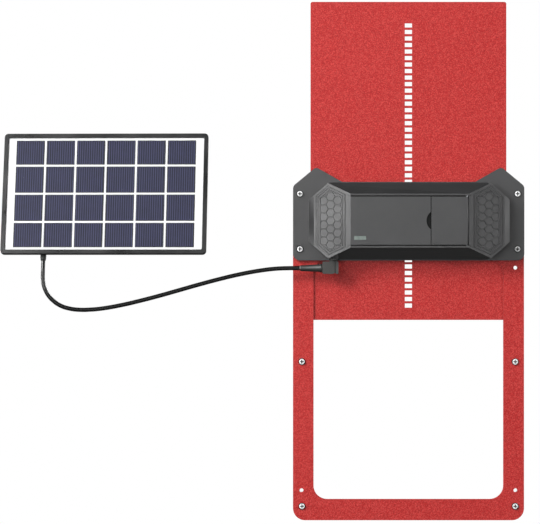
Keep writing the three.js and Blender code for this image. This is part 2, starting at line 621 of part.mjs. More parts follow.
// The flat hexagon face on one side, from just past the fold to the brow.
function hexagonFace(side, margin) {
  const line = (x0, z0, x1, z1, x) => z0 + ((z1 - z0) * (x - x0)) / (x1 - x0);
  const start = FOLD_X + BADGE_FOLD_MARGIN;
  const startHalf = line(FOLD_X, BAR_RIM, APEX_X, APEX_HALF, start);
  const browHalf = line(APEX_X, APEX_HALF, TEMPLE_X, TEMPLE_HALF, BROW_X);
  const corners = [
    [start, -startHalf], [APEX_X, -APEX_HALF], [BROW_X, -browHalf],
    [BROW_X, browHalf], [APEX_X, APEX_HALF], [start, startHalf],
  ];
  const points = corners.map(([x, z]) => new THREE.Vector2(side * x, z + DRIVE_Z));
  return inset(side > 0 ? points : points.reverse(), margin);
}

const ringY = (outer, inner, back, front) => alongY(shapeOf(outer, [inner]), back, front);

function coverCutters() {
  const holes = HOUSING_SCREWS.map(([x, z]) =>
    barY(SCREW_HOLE, FLANGE_FRONT - 1, FLANGE_BACK + 1, x, z));
  const opening = boxOf([RECESS_OPENING_LEFT, RECESS_OPENING_RIGHT], [COVER_FRONT - 1, LEDGE_FRONT],
    [DRIVE_Z - RECESS_OPENING_HALF, DRIVE_Z + RECESS_OPENING_HALF]);
  const recess = boxOf([RECESS_LEFT, RECESS_RIGHT], [COVER_FRONT - 1, FLOOR_FRONT],
    [DRIVE_Z - RECESS_HALF, DRIVE_Z + RECESS_HALF]);
  const knuckleRelief = boxOf(
    [HINGE_X - KNUCKLE_RADIUS - 0.2, RECESS_OPENING_RIGHT],
    [LEDGE_FRONT - 0.1, HINGE_Y + KNUCKLE_RADIUS + 0.4],
    [DRIVE_Z - RECESS_OPENING_HALF, DRIVE_Z + RECESS_OPENING_HALF]);
  const pinHole = barZ(HINGE_PIN_RADIUS + RUNNING_GAP, DRIVE_Z - BAR_RIM + 0.5, DRIVE_Z + BAR_RIM - 0.5,
    HINGE_X, HINGE_Y, 16);
  const buttonHoles = [-1, 0, 1].map((step) =>
    barY(BUTTON_HOLE, FLOOR_FRONT - 1, FLOOR_BACK + 1, BUTTON_X, DRIVE_Z + step * BUTTON_PITCH));
  const sliderSlot = boxOf([SWITCH_X - 1.8, SWITCH_X + 1.8], [FLOOR_FRONT - 1, FLOOR_BACK + 1],
    [DRIVE_Z - SLIDER_TRAVEL / 2 - 2.1, DRIVE_Z + SLIDER_TRAVEL / 2 + 2.1]);
  const window = boxOf([LENS_X - LENS_WIDTH / 2, LENS_X + LENS_WIDTH / 2],
    [COVER_FRONT - CUT_PAST, COVER_INSIDE + CUT_PAST],
    [DRIVE_Z - LENS_BELOW - LENS_HEIGHT / 2, DRIVE_Z - LENS_BELOW + LENS_HEIGHT / 2]);
  const notchRadius = (NOTCH_HALF ** 2 + NOTCH_WIDTH ** 2) / (2 * NOTCH_WIDTH);
  const notch = barY(notchRadius, COVER_FRONT - 1, COVER_FRONT + NOTCH_DEPTH,
    RECESS_OPENING_LEFT + notchRadius - NOTCH_WIDTH, DRIVE_Z, 48);
  const socketBore = barZ(SOCKET_RADIUS + RUNNING_GAP, SOCKET_BOTTOM - 5, SOCKET_BOTTOM + SOCKET_HEIGHT + 5,
    SOCKET_X, SOCKET_Y);
  return [opening, recess, knuckleRelief, pinHole, sliderSlot, window, notch, socketBore,
    ...buttonHoles, ...holes];
}

function buildCover() {
  const flange = toSolid(alongY(shapeOf(flangeOutline()), FLANGE_BACK, FLANGE_FRONT));
  const cavity = raisedBlock(COVER_WALL, FLANGE_BACK + 1);
  const shell = flange.add(raisedBlock(0, FLANGE_FRONT + 1)).subtract(cavity);
  const recessBox = toSolid(boxOf([RECESS_LEFT - RECESS_WALL, RECESS_RIGHT + RECESS_WALL],
    [COVER_INSIDE - 0.5, FLOOR_BACK],
    [DRIVE_Z - RECESS_HALF - RECESS_WALL, DRIVE_Z + RECESS_HALF + RECESS_WALL]));
  const ledge = toSolid(boxOf([RECESS_OPENING_LEFT - RECESS_WALL, RECESS_OPENING_RIGHT + RECESS_WALL],
    [COVER_INSIDE - 0.5, LEDGE_FRONT + 2.3],
    [DRIVE_Z - RECESS_OPENING_HALF - 1.4, DRIVE_Z + RECESS_OPENING_HALF + 1.4]));
  const boss = toSolid(barZ(SOCKET_BOSS, SOCKET_BOTTOM, SOCKET_BOTTOM + SOCKET_HEIGHT - SOCKET_BOSS_SHORT,
    SOCKET_X, SOCKET_Y));
  const grooveRing = toSolid(ringY(inset(dumbbell(), GROOVE_INSET),
    inset(dumbbell(), GROOVE_INSET + GROOVE_WIDTH), COVER_INSIDE + TEMPLE_DROP, COVER_FRONT - 1));
  const barZone = toSolid(boxOf([-FOLD_X - BADGE_FOLD_MARGIN, FOLD_X + BADGE_FOLD_MARGIN],
    [COVER_FRONT - 1, COVER_INSIDE], [DRIVE_Z - APEX_HALF, DRIVE_Z + APEX_HALF]));
  const groove = grooveRing.intersect(barZone).intersect(frontSkin(GROOVE_DEPTH));
  const badgeSeats = [-1, 1].map((side) =>
    toSolid(alongY(shapeOf(hexagonFace(side, GROOVE_INSET)), FLANGE_FRONT, COVER_FRONT - 1)));
  const badgeSkin = frontSkin(BADGE_DEPTH);
  let cover = shell.add(recessBox).add(ledge).add(boss).subtract(groove);
  for (const seat of badgeSeats) {
    cover = cover.subtract(seat.intersect(badgeSkin));
  }
  add('housing_cover', toGeometry(cutBy(cover, ...coverCutters())), GREY_PLASTIC);

  // Badge plates fill the sunk hexagon faces, less the groove round them.
  for (const [name, side] of [['left_badge', -1], ['right_badge', 1]]) {
    const prism = toSolid(alongY(shapeOf(hexagonFace(side, GROOVE_INSET + GROOVE_WIDTH)), FLANGE_FRONT,
      COVER_FRONT - 1));
    const layer = foldedSolid(0, 0).subtract(foldedSolid(BADGE_DEPTH - SEAT, 0));
    add(name, toGeometry(prism.intersect(layer)), GREY_PLASTIC);
  }
}

function buildBase() {
  const plate = alongY(shapeOf(flangeOutline(), [DRIVE_WINDOW]), BASE_BACK, BASE_FRONT);
  const pedestals = [PEDESTAL_LEFT_X, PEDESTAL_RIGHT_X].map((x) =>
    boxOf([x, x + BUSH_WIDTH], [DRIVE_Y - PEDESTAL_HALF, BASE_BACK - 0.5],
      [DRIVE_Z - PEDESTAL_HALF, DRIVE_Z + PEDESTAL_HALF]));
  const posts = BOARD_POSTS.map(([x, z]) => barY(3, BOARD_BACK + SEAT, BASE_BACK - 0.5, x, z));
  const solid = joined(plate, ...pedestals, ...posts);
  const bore = barX(BUSH_RADIUS + RUNNING_GAP, PEDESTAL_LEFT_X - 1, PEDESTAL_RIGHT_X + BUSH_WIDTH + 1,
    DRIVE_Y, DRIVE_Z);
  const holes = HOUSING_SCREWS.map(([x, z]) => barY(SCREW_HOLE, BASE_FRONT - 1, BASE_BACK + 1, x, z));
  const gearRelief = barX(GEAR_MODULE * (DRIVEN_TEETH / 2 + 1) + GEAR_HEADROOM,
    GEAR_LEFT - GEAR_HEADROOM, GEAR_RIGHT + GEAR_HEADROOM, DRIVE_Y, DRIVE_Z, 48);
  add('housing_base', toGeometry(cutBy(solid, bore, gearRelief, ...holes)), DARK_PLASTIC);

  const outline = flangeOutline();
  add('housing_gasket', ringY(inset(outline, 0.4), inset(outline, 0.4 + GASKET_WIDTH),
    GASKET_BACK, GASKET_BACK - GASKET_SHEET), RUBBER);
  HOUSING_SCREWS.forEach((place, index) => {
    add(`housing_screw_${index + 1}`, panScrew(place, FLANGE_FRONT), CHROME);
  });
}

// ---------------------------------------------------------------- control flap, buttons and board
const BOARD_LEFT = RECESS_LEFT - 7;
const BOARD_RIGHT = RECESS_RIGHT + 1;
const BOARD_HALF = RECESS_HALF - 1;
const BOARD_POSTS = [
  [BOARD_LEFT + 5, DRIVE_Z - BOARD_HALF + 5],
  [BOARD_RIGHT - 5, DRIVE_Z + BOARD_HALF - 5],
];

function buildControls() {
  const flapPlate = toSolid(boxOf([FLAP_LEFT, HINGE_X], [COVER_FRONT, COVER_FRONT + FLAP_SHEET],
    [DRIVE_Z - FLAP_HALF, DRIVE_Z + FLAP_HALF]));
  const knuckle = toSolid(barZ(KNUCKLE_RADIUS, DRIVE_Z - FLAP_HALF, DRIVE_Z + FLAP_HALF, HINGE_X, HINGE_Y));
  const bore = barZ(HINGE_PIN_RADIUS + RUNNING_GAP, DRIVE_Z - FLAP_HALF - 1, DRIVE_Z + FLAP_HALF + 1,
    HINGE_X, HINGE_Y, 16);
  add('control_flap', toGeometry(cutBy(flapPlate.add(knuckle), bore)), GREY_PLASTIC);
  add('flap_hinge_pin', barZ(HINGE_PIN_RADIUS, DRIVE_Z - BAR_RIM + 0.8, DRIVE_Z + BAR_RIM - 0.8,
    HINGE_X, HINGE_Y, 16), STEEL);

  const sealBack = COVER_FRONT + FLAP_SHEET + SEAT + SEAL_SHEET;
  const sealOuter = rectangle(FLAP_LEFT + 0.3, RECESS_RIGHT + 1.3,
    DRIVE_Z - RECESS_HALF - 1.5, DRIVE_Z + RECESS_HALF + 1.5, 1);
  add('flap_seal', ringY(sealOuter, inset(sealOuter, 1.1), sealBack, sealBack - SEAL_SHEET), RUBBER);

  const buttons = [['close_button', -1], ['mode_button', 0], ['open_button', 1]];
  for (const [name, step] of buttons) {
    const z = DRIVE_Z + step * BUTTON_PITCH;
    const reach = BUTTON_BACK - FLOOR_BACK;
    const flange = BUTTON_RADIUS + BUTTON_FLANGE;
    const length = BUTTON_BACK - FLOOR_FRONT + BUTTON_PROUD;
    const profile = [
      [0, 0], [flange, 0], [flange, reach - 0.2], [BUTTON_RADIUS, reach - 0.2],
      [BUTTON_RADIUS, length - 0.6], [BUTTON_RADIUS - 0.6, length], [0, length],
    ];
    add(name, turned(profile, 24, Y_AXIS.clone().negate()).translate(BUTTON_X, BUTTON_BACK, z), RUBBER);
    const switchBody = boxOf([BUTTON_X - 3, BUTTON_X + 3], [SWITCH_FRONT + 0.9, BOARD_FRONT - SEAT],
      [z - 3, z + 3]);
    const plunger = barY(1.6, SWITCH_FRONT, SWITCH_FRONT + 1.2, BUTTON_X, z, 16);
    add(name.replace('button', 'switch'), toGeometry(joined(switchBody, plunger)), DARK_PLASTIC);
  }

  const housingFront = FLOOR_BACK + 0.6;
  const body = boxOf([SWITCH_X - 3, SWITCH_X + 3], [housingFront, BOARD_FRONT - SEAT],
    [DRIVE_Z - 6.5, DRIVE_Z + 6.5]);
  const slot = boxOf([SWITCH_X - 1.4, SWITCH_X + 1.4], [housingFront - 1, housingFront + 2.4],
    [DRIVE_Z - SLIDER_TRAVEL / 2 - 1.9, DRIVE_Z + SLIDER_TRAVEL / 2 + 1.9]);
  add('power_switch', toGeometry(cutBy(toSolid(body), slot)), DARK_PLASTIC);
  const knobLow = DRIVE_Z - SLIDER_TRAVEL / 2 - 1.5;
  add('power_slider', boxOf([SWITCH_X - 1.1, SWITCH_X + 1.1], [FLOOR_FRONT - 1.5, housingFront + 2.1],
    [knobLow, knobLow + 3]), WHITE_PLASTIC);

  add('control_board', boxOf([BOARD_LEFT, BOARD_RIGHT], [BOARD_FRONT, BOARD_BACK],
    [DRIVE_Z - BOARD_HALF, DRIVE_Z + BOARD_HALF]), BOARD_GREEN);
  add('control_chip', boxOf([BOARD_LEFT + 5, BOARD_LEFT + 15], [BOARD_FRONT - SEAT - 1.4, BOARD_FRONT - SEAT],
    [DRIVE_Z - 5, DRIVE_Z + 5]), DARK_PLASTIC);
}

function buildSensor() {
  const z = DRIVE_Z - LENS_BELOW;
  const halfWidth = LENS_WIDTH / 2 - LENS_GAP;
  const halfHeight = LENS_HEIGHT / 2 - LENS_GAP;
  const pane = boxOf([LENS_X - halfWidth, LENS_X + halfWidth], [COVER_FRONT + 0.3, COVER_INSIDE + 0.3],
    [z - halfHeight, z + halfHeight]);
  const collar = boxOf([LENS_X - halfWidth - 1.2, LENS_X + halfWidth + 1.2],
    [COVER_INSIDE + SEAT, COVER_INSIDE + 0.8], [z - halfHeight - 1.2, z + halfHeight + 1.2]);
  add('sensor_window', toGeometry(joined(pane, collar)), LENS);
  const boardFront = COVER_INSIDE + SENSOR_DEPTH;
  add('sensor_board', boxOf([LENS_X - 9, LENS_X + 9], [boardFront, boardFront + SENSOR_BOARD_SHEET],
    [z - 5, z + 6]), BOARD_GREEN);
  const sensor = [[0, 0], [2.3, 0], [2.3, 1.8], [1.9, 2.6], [0, 2.6]];
  for (const [name, x, material] of [['light_sensor', -3.6, BRASS], ['status_led', 3.6, LENS]]) {
    const can = turned(sensor, 20, Y_AXIS.clone().negate());
    add(name, can.translate(LENS_X + x, boardFront - SEAT, z), material);
  }
}

// ---------------------------------------------------------------- drive
const PINION_PROFILE = [
  [-PINION_ROOT, 0.75], [-1.38, 0.35], [-0.38, 0], [0.62, -0.45], [PINION_TIP, -0.95],
].map(([height, extra]) => [height, SLOT_HEIGHT / 2 - TOOTH_PLAY + extra]);
const SPUR_PROFILE = [[-1.15, 0.95], [-0.2, 0.7], [0.35, 0.5], [0.95, 0.22]]
  .map(([height, half]) => [height * GEAR_MODULE, half * GEAR_MODULE]);

function buildDrive() {
  // One pinion tooth points into the slot nearest the axis height.
  const slotOffset = FIRST_SLOT + Math.round((DRIVE_Z - FIRST_SLOT) / RACK_PITCH) * RACK_PITCH - DRIVE_Z;
  const pinionPhase = slotOffset / PITCH_RADIUS;
  const pinion = toothed(PINION_TEETH, PITCH_RADIUS, PINION_PROFILE, pinionPhase, SHAFT_RADIUS + RUNNING_GAP);
  add('drive_pinion', alongX(pinion, -PINION_WIDTH / 2, PINION_WIDTH / 2)
    .translate(0, DRIVE_Y, DRIVE_Z), WHITE_PLASTIC);
  const driven = toothed(DRIVEN_TEETH, (GEAR_MODULE * DRIVEN_TEETH) / 2, SPUR_PROFILE, MESH_ANGLE,
    SHAFT_RADIUS + RUNNING_GAP);
  add('driven_gear', alongX(driven, GEAR_LEFT, GEAR_RIGHT).translate(0, DRIVE_Y, DRIVE_Z), WHITE_PLASTIC);
  const motorPhase = MESH_ANGLE + Math.PI + Math.PI / MOTOR_TEETH;
  const motorGear = toothed(MOTOR_TEETH, (GEAR_MODULE * MOTOR_TEETH) / 2, SPUR_PROFILE, motorPhase,
    MOTOR_SHAFT_RADIUS + RUNNING_GAP);
  add('motor_gear', alongX(motorGear, GEAR_LEFT, GEAR_RIGHT).translate(0, MOTOR_Y, MOTOR_Z), BRASS);

  add('pinion_shaft', barX(SHAFT_RADIUS, PEDESTAL_LEFT_X - 1, PEDESTAL_RIGHT_X + BUSH_WIDTH + 1,
    DRIVE_Y, DRIVE_Z, 24), STEEL);
  for (const [name, x] of [['left_bush', PEDESTAL_LEFT_X], ['right_bush', PEDESTAL_RIGHT_X]]) {
    const ring = shapeOf(circle(0, 0, BUSH_RADIUS, 32), [circle(0, 0, SHAFT_RADIUS + RUNNING_GAP, 24)]);
    add(name, alongX(ring, x, x + BUSH_WIDTH).translate(0, DRIVE_Y, DRIVE_Z), BRASS);
  }
  add('motor_shaft', barX(MOTOR_SHAFT_RADIUS, GEARBOX_RIGHT - SHAFT_SOCKET, GEAR_RIGHT + 1,
    MOTOR_Y, MOTOR_Z, 24), STEEL);

  const gearbox = toSolid(barX(GEARBOX_RADIUS, GEARBOX_LEFT, GEARBOX_RIGHT, MOTOR_Y, MOTOR_Z));
  const shaftHole = barX(MOTOR_SHAFT_RADIUS + BUTT_GAP, GEARBOX_RIGHT - SHAFT_SOCKET - BUTT_GAP,
    GEARBOX_RIGHT + CUT_PAST, MOTOR_Y, MOTOR_Z, 24);
  add('gearbox', toGeometry(cutBy(gearbox, shaftHole)), STEEL);
  const can = [
    [0, 0], [MOTOR_RADIUS, 0], [MOTOR_RADIUS, MOTOR_LENGTH - 1.5], [MOTOR_RADIUS - 1.5, MOTOR_LENGTH],
    [3.5, MOTOR_LENGTH], [3.5, MOTOR_LENGTH + 2], [0, MOTOR_LENGTH + 2],
  ];
  add('motor', turned(can, 32, X_AXIS.clone().negate()).translate(MOTOR_RIGHT, MOTOR_Y, MOTOR_Z), ALUMINIUM);

  const low = MOTOR_Z - GEARBOX_RADIUS;
  const high = MOTOR_Z + GEARBOX_RADIUS - 2;
  const upright = boxOf([BRACKET_X, BRACKET_X + BRACKET_SHEET], [MOTOR_Y - GEARBOX_RADIUS, BASE_FRONT - SEAT],
    [low, high]);
  const foot = boxOf([GEARBOX_LEFT + 4, BRACKET_X + 0.5],
    [BASE_FRONT - SEAT - BRACKET_SHEET, BASE_FRONT - SEAT], [low, high]);
  const clearHole = barX(MOTOR_SHAFT_RADIUS + BRACKET_GAP, BRACKET_X - CUT_PAST,
    BRACKET_X + BRACKET_SHEET + CUT_PAST, MOTOR_Y, MOTOR_Z);
  add('motor_bracket', toGeometry(cutBy(joined(upright, foot), clearHole)), ALUMINIUM);
}

// ---------------------------------------------------------------- battery, socket, plug and lead
function buildPower() {
  const y = BASE_FRONT - CELL_RADIUS - 4.7;
  const z = DRIVE_Z + CELL_ABOVE;
  const right = GEARBOX_RIGHT;
  add('battery_cell', barX(CELL_RADIUS, right - CELL_LENGTH, right, y, z, 40), WRAP);
  const cradleRadius = CELL_RADIUS + BUTT_GAP;
  const block = toSolid(boxOf([right - CELL_LENGTH + 3, right - 3], [y, BASE_FRONT - SEAT],
    [z - CELL_RADIUS - 2, z + CELL_RADIUS + 2]));
  const trough = barX(cradleRadius, right - CELL_LENGTH, right, y, z, 40);
  add('battery_holder', toGeometry(cutBy(block, trough)), DARK_PLASTIC);

  // Socket: a cup open downwards, with the centre pin standing in it.
  const top = SOCKET_HEIGHT;
  const socket = [
    [0, 4], [0.9, 4], [0.9, top - 3], [SOCKET_BORE, top - 3], [SOCKET_BORE, 1],
    [SOCKET_RADIUS, 1], [SOCKET_RADIUS, top], [0, top],
  ];
  add('dc_socket', turned(socket, 24, Z_AXIS).translate(SOCKET_X, SOCKET_Y, SOCKET_BOTTOM), DARK_PLASTIC);
  const barrel = shapeOf(circle(SOCKET_X, SOCKET_Y, PLUG_BARREL_RADIUS, 24),
    [circle(SOCKET_X, SOCKET_Y, PLUG_BARREL_BORE, 16)]);
  add('plug_barrel', alongZ(barrel, PLUG_TOP + SEAT, SOCKET_BOTTOM + SOCKET_HEIGHT - 5), CHROME);

  const bodyBottom = PLUG_TOP - PLUG_NECK_HEIGHT - PLUG_HEIGHT;
  const side = rectangle(SOCKET_X - PLUG_REACH, SOCKET_X + PLUG_BEHIND,
    bodyBottom, bodyBottom + PLUG_HEIGHT, 2.5);
  const moulding = toSolid(alongY(shapeOf(side), SOCKET_Y + PLUG_HALF_DEPTH,
    SOCKET_Y - PLUG_HALF_DEPTH));
  const neck = toSolid(barZ(PLUG_NECK_RADIUS, bodyBottom + PLUG_HEIGHT - 1, PLUG_TOP, SOCKET_X, SOCKET_Y));
  add('plug_body', toGeometry(moulding.add(neck)), DARK_PLASTIC);
  const relief = [
    [0, 0], [5, 0], [5, 2], [4.2, 2.6], [4.6, RELIEF_LENGTH * 0.35], [3.3, RELIEF_LENGTH], [0, RELIEF_LENGTH],
  ];
  add('plug_strain_relief', turned(relief, 20, X_AXIS.clone().negate())
    .translate(SOCKET_X - PLUG_REACH - SEAT, SOCKET_Y, bodyBottom + PLUG_CABLE_HEIGHT), RUBBER);

  const path = new THREE.CatmullRomCurve3(LEAD_POINTS.map((point) => new THREE.Vector3(...point)));
  add('panel_lead', new THREE.ExtrudeGeometry(shapeOf(circle(0, 0, LEAD_RADIUS, LEAD_SIDES)), {
    steps: LEAD_STEPS,
    extrudePath: path,
    bevelEnabled: false,
  }), RUBBER);
}

// ---------------------------------------------------------------- solar panel
function buildPanel() {
  const panel = new THREE.Group();
  panel.position.set(...PANEL_PLACE);
  panel.rotation.set(
    -THREE.MathUtils.degToRad(PANEL_LEAN), 0, -THREE.MathUtils.degToRad(PANEL_TURN), 'ZXY');
  group.add(panel);

  const halfWidth = PANEL_WIDTH / 2;
  const halfHeight = PANEL_HEIGHT / 2;
  const rectangleIn = (margin, radius) =>
    rectangle(-halfWidth + margin, halfWidth - margin, -halfHeight + margin, halfHeight - margin, radius);
  add('panel_rim', ringY(rectangleIn(0, PANEL_RADIUS), rectangleIn(PANEL_RIM, 1.5), PANEL_RIM_DEPTH, 0),
    DARK_PLASTIC, panel);
  const sheet = rectangleIn(PANEL_RIM + BUTT_GAP, 1.2);
  add('panel_film', alongY(shapeOf(sheet), FILM_BACK, FILM_FRONT), GLASS, panel);
  add('panel_cells', alongY(shapeOf(sheet), CELLS_BACK, FILM_BACK + SEAT), CELL_BLUE, panel);

  const trayBack = PANEL_RIM_DEPTH + SEAT + TRAY_DEPTH;
  const tray = toSolid(alongY(shapeOf(rectangleIn(TRAY_INSET, 4)), trayBack, PANEL_RIM_DEPTH + SEAT));
  const hollow = alongY(shapeOf(rectangleIn(TRAY_INSET + TRAY_WALL, 2)), trayBack - TRAY_WALL, 0);
  add('panel_tray', toGeometry(cutBy(tray, hollow)), DARK_PLASTIC, panel);

  const [boxWidth, boxDepth, boxHeight] = JUNCTION_SIZE;
  const boxBack = trayBack + SEAT + boxDepth;
  const junction = rectangle(-boxWidth / 2, boxWidth / 2, -boxHeight / 2, boxHeight / 2, 4);
  const box = toSolid(alongY(shapeOf(junction), boxBack, boxBack - boxDepth));
  const pocket = barY(INSERT_RADIUS + RUNNING_GAP, boxBack - INSERT_DEPTH - BUTT_GAP, boxBack + 1, 0, 0);
  add('junction_box', toGeometry(cutBy(box, pocket)), DARK_PLASTIC, panel);
  const insert = shapeOf(circle(0, 0, INSERT_RADIUS, 24), [circle(0, 0, INSERT_BORE, 20)]);
  add('bracket_insert', alongY(insert, boxBack, boxBack - INSERT_DEPTH), BRASS, panel);

  const gland = [
    [0, 0], [4, 0], [4, 3], [3.4, 3.6], [3.6, GLAND_LENGTH - 4], [3.1, GLAND_LENGTH], [0, GLAND_LENGTH],
  ];
  add('lead_gland', turned(gland, 20, Z_AXIS.clone().negate())
    .translate(GLAND_X, PANEL_RIM_DEPTH + GLAND_BEHIND_RIM, -halfHeight + TRAY_INSET - SEAT), RUBBER, panel);
}

buildFrame();
buildDoor();
buildBase();
buildCover();
buildControls();
buildSensor();
buildDrive();
buildPower();
buildPanel();

export default group;
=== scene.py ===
# Looks of the automatic coop door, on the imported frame. Metres, +Z up, the front faces -Y.
import math

import bmesh
import bpy
from mathutils import Matrix, Vector


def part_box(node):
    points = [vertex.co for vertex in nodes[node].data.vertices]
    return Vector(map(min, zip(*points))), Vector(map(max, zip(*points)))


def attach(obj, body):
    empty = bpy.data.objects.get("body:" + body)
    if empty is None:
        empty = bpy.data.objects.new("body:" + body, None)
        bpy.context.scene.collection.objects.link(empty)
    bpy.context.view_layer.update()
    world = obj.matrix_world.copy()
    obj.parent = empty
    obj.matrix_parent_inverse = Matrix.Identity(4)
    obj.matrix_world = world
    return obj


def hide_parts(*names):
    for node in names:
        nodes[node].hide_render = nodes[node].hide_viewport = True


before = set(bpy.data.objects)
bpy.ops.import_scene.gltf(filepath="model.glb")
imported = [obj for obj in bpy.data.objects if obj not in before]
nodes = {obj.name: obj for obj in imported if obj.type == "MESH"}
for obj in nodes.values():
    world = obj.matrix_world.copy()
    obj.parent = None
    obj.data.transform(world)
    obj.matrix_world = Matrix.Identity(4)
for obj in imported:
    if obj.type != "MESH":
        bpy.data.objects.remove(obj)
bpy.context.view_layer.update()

MM = 0.001

# ---------------------------------------------------------------- camera
CAMERA_PLACE = (-0.1619, -4.0069, 0.2896)
FOCAL_LENGTH = 228.15


def make_camera():
    """A long lens four metres in front, level with the middle of the object."""
    data = bpy.data.cameras.new("camera")
    data.sensor_width = 36
    data.lens = FOCAL_LENGTH
    data.clip_end = 50
    camera = bpy.data.objects.new("camera", data)
    camera.location = CAMERA_PLACE
    camera.rotation_euler = (math.pi / 2, 0, 0)
    bpy.context.scene.collection.objects.link(camera)
    bpy.context.scene.camera = camera


make_camera()


# ---------------------------------------------------------------- material helpers
def linear(red, green, blue):
    """A linear colour from sRGB values of 0 to 255."""
    def channel(value):
        value /= 255
        return value / 12.92 if value <= 0.04045 else ((value + 0.055) / 1.055) ** 2.4
    return (channel(red), channel(green), channel(blue), 1)


class Finish:
    """A node material built step by step around one Principled BSDF."""

    def __init__(self, name, **sockets):
        self.material = bpy.data.materials.new(name)
        self.material.use_nodes = True
        self.tree = self.material.node_tree
        self.shader = self.tree.nodes["Principled BSDF"]
        self.place = self.add("ShaderNodeTexCoord").outputs["Object"]
        for socket, value in sockets.items():
            self.shader.inputs[socket.replace("_", " ")].default_value = value

    def add(self, kind, inputs=None, **settings):
        node = self.tree.nodes.new(kind)
        for name, value in settings.items():
            setattr(node, name, value)
        for name, value in (inputs or {}).items():
            self.put(node.inputs[name], value)
        return node

    def put(self, socket, value):
        if isinstance(value, bpy.types.NodeSocket):
            self.tree.links.new(value, socket)
        else:
            socket.default_value = value

    def set(self, name, value):
        self.put(self.shader.inputs[name], value)

    def stretched(self, scale):
        return self.add("ShaderNodeMapping", {"Vector": self.place, "Scale": scale}).outputs["Vector"]

    def noise(self, scale, detail=3, roughness=0.5, vector=None):
        inputs = {"Vector": vector or self.place, "Scale": scale, "Detail": detail, "Roughness": roughness}
        return self.add("ShaderNodeTexNoise", inputs).outputs["Fac"]

    def cells(self, scale):
        inputs = {"Vector": self.place, "Scale": scale}
        return self.add("ShaderNodeTexVoronoi", inputs, feature="F1").outputs["Distance"]

    def remap(self, value, low, high, from_low=0.3, from_high=0.7):
        inputs = {"Value": value, "From Min": from_low, "From Max": from_high, "To Min": low, "To Max": high}
        return self.add("ShaderNodeMapRange", inputs).outputs["Result"]

    def mix(self, factor, first, second):
        node = self.add("ShaderNodeMix", {0: factor}, data_type="RGBA")
        self.put(node.inputs[6], first)
        self.put(node.inputs[7], second)
        return node.outputs[2]

    def tint(self, value, first, second):
        """Sets a base colour that drifts between two colours."""
        self.set("Base Color", self.mix(self.remap(value, 0, 1), first, second))

    def sum(self, first, second, share):
        inputs = {0: second, 1: share, 2: first}
        return self.add("ShaderNodeMath", inputs, operation="MULTIPLY_ADD").outputs[0]

    def bump(self, height, distance, strength):
        node = self.add("ShaderNodeBump", {"Height": height, "Distance": distance, "Strength": strength})
        self.set("Normal", node.outputs["Normal"])


def powder_coat():
    """Red powder coat: orange peel with pale grains and dark pits."""
    finish = Finish("red_powder_coat", Specular_IOR_Level=0.3)
    peel = finish.noise(820, 2, 0.55)
    speck = finish.noise(1500, 2, 0.6)
    drift = finish.noise(14, 3, 0.55)
    tone = finish.mix(finish.remap(drift, 0, 1), linear(190, 37, 36), linear(195, 42, 41))
    grain = finish.mix(finish.remap(peel, 0, 0.8, 0.42, 0.62), tone, linear(224, 80, 76))
    pits = finish.remap(speck, 0, 0.7, 0.46, 0.66)
    finish.set("Base Color", finish.mix(pits, grain, linear(128, 20, 20)))
    finish.set("Roughness", finish.remap(peel, 0.4, 0.56))
    finish.bump(finish.sum(peel, speck, 0.35), 0.00016, 0.55)
    return finish.material


def moulded(name, dark, light, roughness, grain=900, depth=0.00009, specular=0.5):
    """Moulded plastic with a fine sparkle and shallow pits."""
    finish = Finish(name, Specular_IOR_Level=specular)
    spark = finish.noise(grain, 3, 0.65)
    pit = finish.cells(grain * 0.8)
    drift = finish.noise(22, 3, 0.6)
    tone = finish.mix(finish.remap(drift, 0, 1), dark, light)
    finish.set("Base Color", finish.mix(finish.remap(spark, 0, 0.3, 0.45, 0.75), tone, light))
    finish.set("Roughness", finish.remap(drift, roughness - 0.05, roughness + 0.07))
    finish.bump(finish.sum(spark, pit, 0.5), depth, 0.6)
    return finish.material


def metal(name, dark, light, roughness, stretch, scratch=0.00002, metallic=1.0):
    """Brushed metal, with its grain drawn out along one direction."""
    finish = Finish(name, Metallic=metallic)
    grain = finish.noise(160, 4, 0.65, finish.stretched(stretch))
    cloud = finish.noise(60, 3, 0.5)
    finish.tint(cloud, dark, light)
    finish.set("Roughness", finish.remap(grain, roughness - 0.06, roughness + 0.1))
    finish.bump(grain, scratch, 0.5)
    return finish.material


def cable_jacket():
    finish = Finish("cable_jacket", Specular_IOR_Level=0.7)
    grain = finish.noise(900, 3, 0.6)
    dust = finish.noise(60, 3, 0.6)
    finish.tint(dust, linear(12, 13, 13), linear(20, 21, 21))
    finish.set("Roughness", finish.remap(grain, 0.26, 0.36))
    finish.bump(grain, 0.00003, 0.4)
    return finish.material


def rubber():
    finish = Finish("black_rubber", Sheen_Weight=0.15)
    grain = finish.noise(1300, 3, 0.6)
    dust = finish.noise(70, 4, 0.6)
    finish.tint(dust, linear(30, 32, 31), linear(44, 47, 45))
    finish.set("Roughness", finish.remap(grain, 0.5, 0.68))
    finish.bump(grain, 0.00006, 0.5)
    return finish.material


def lens_plastic():
    finish = Finish("lens_plastic", Coat_Weight=0.6, Coat_Roughness=0.08)
    frost = finish.noise(700, 3, 0.6)
    tone = finish.noise(90, 2, 0.5)
    finish.tint(tone, linear(108, 122, 115), linear(134, 146, 140))
    finish.set("Roughness", finish.remap(frost, 0.15, 0.3))
    finish.bump(frost, 0.00003, 0.4)
    return finish.material


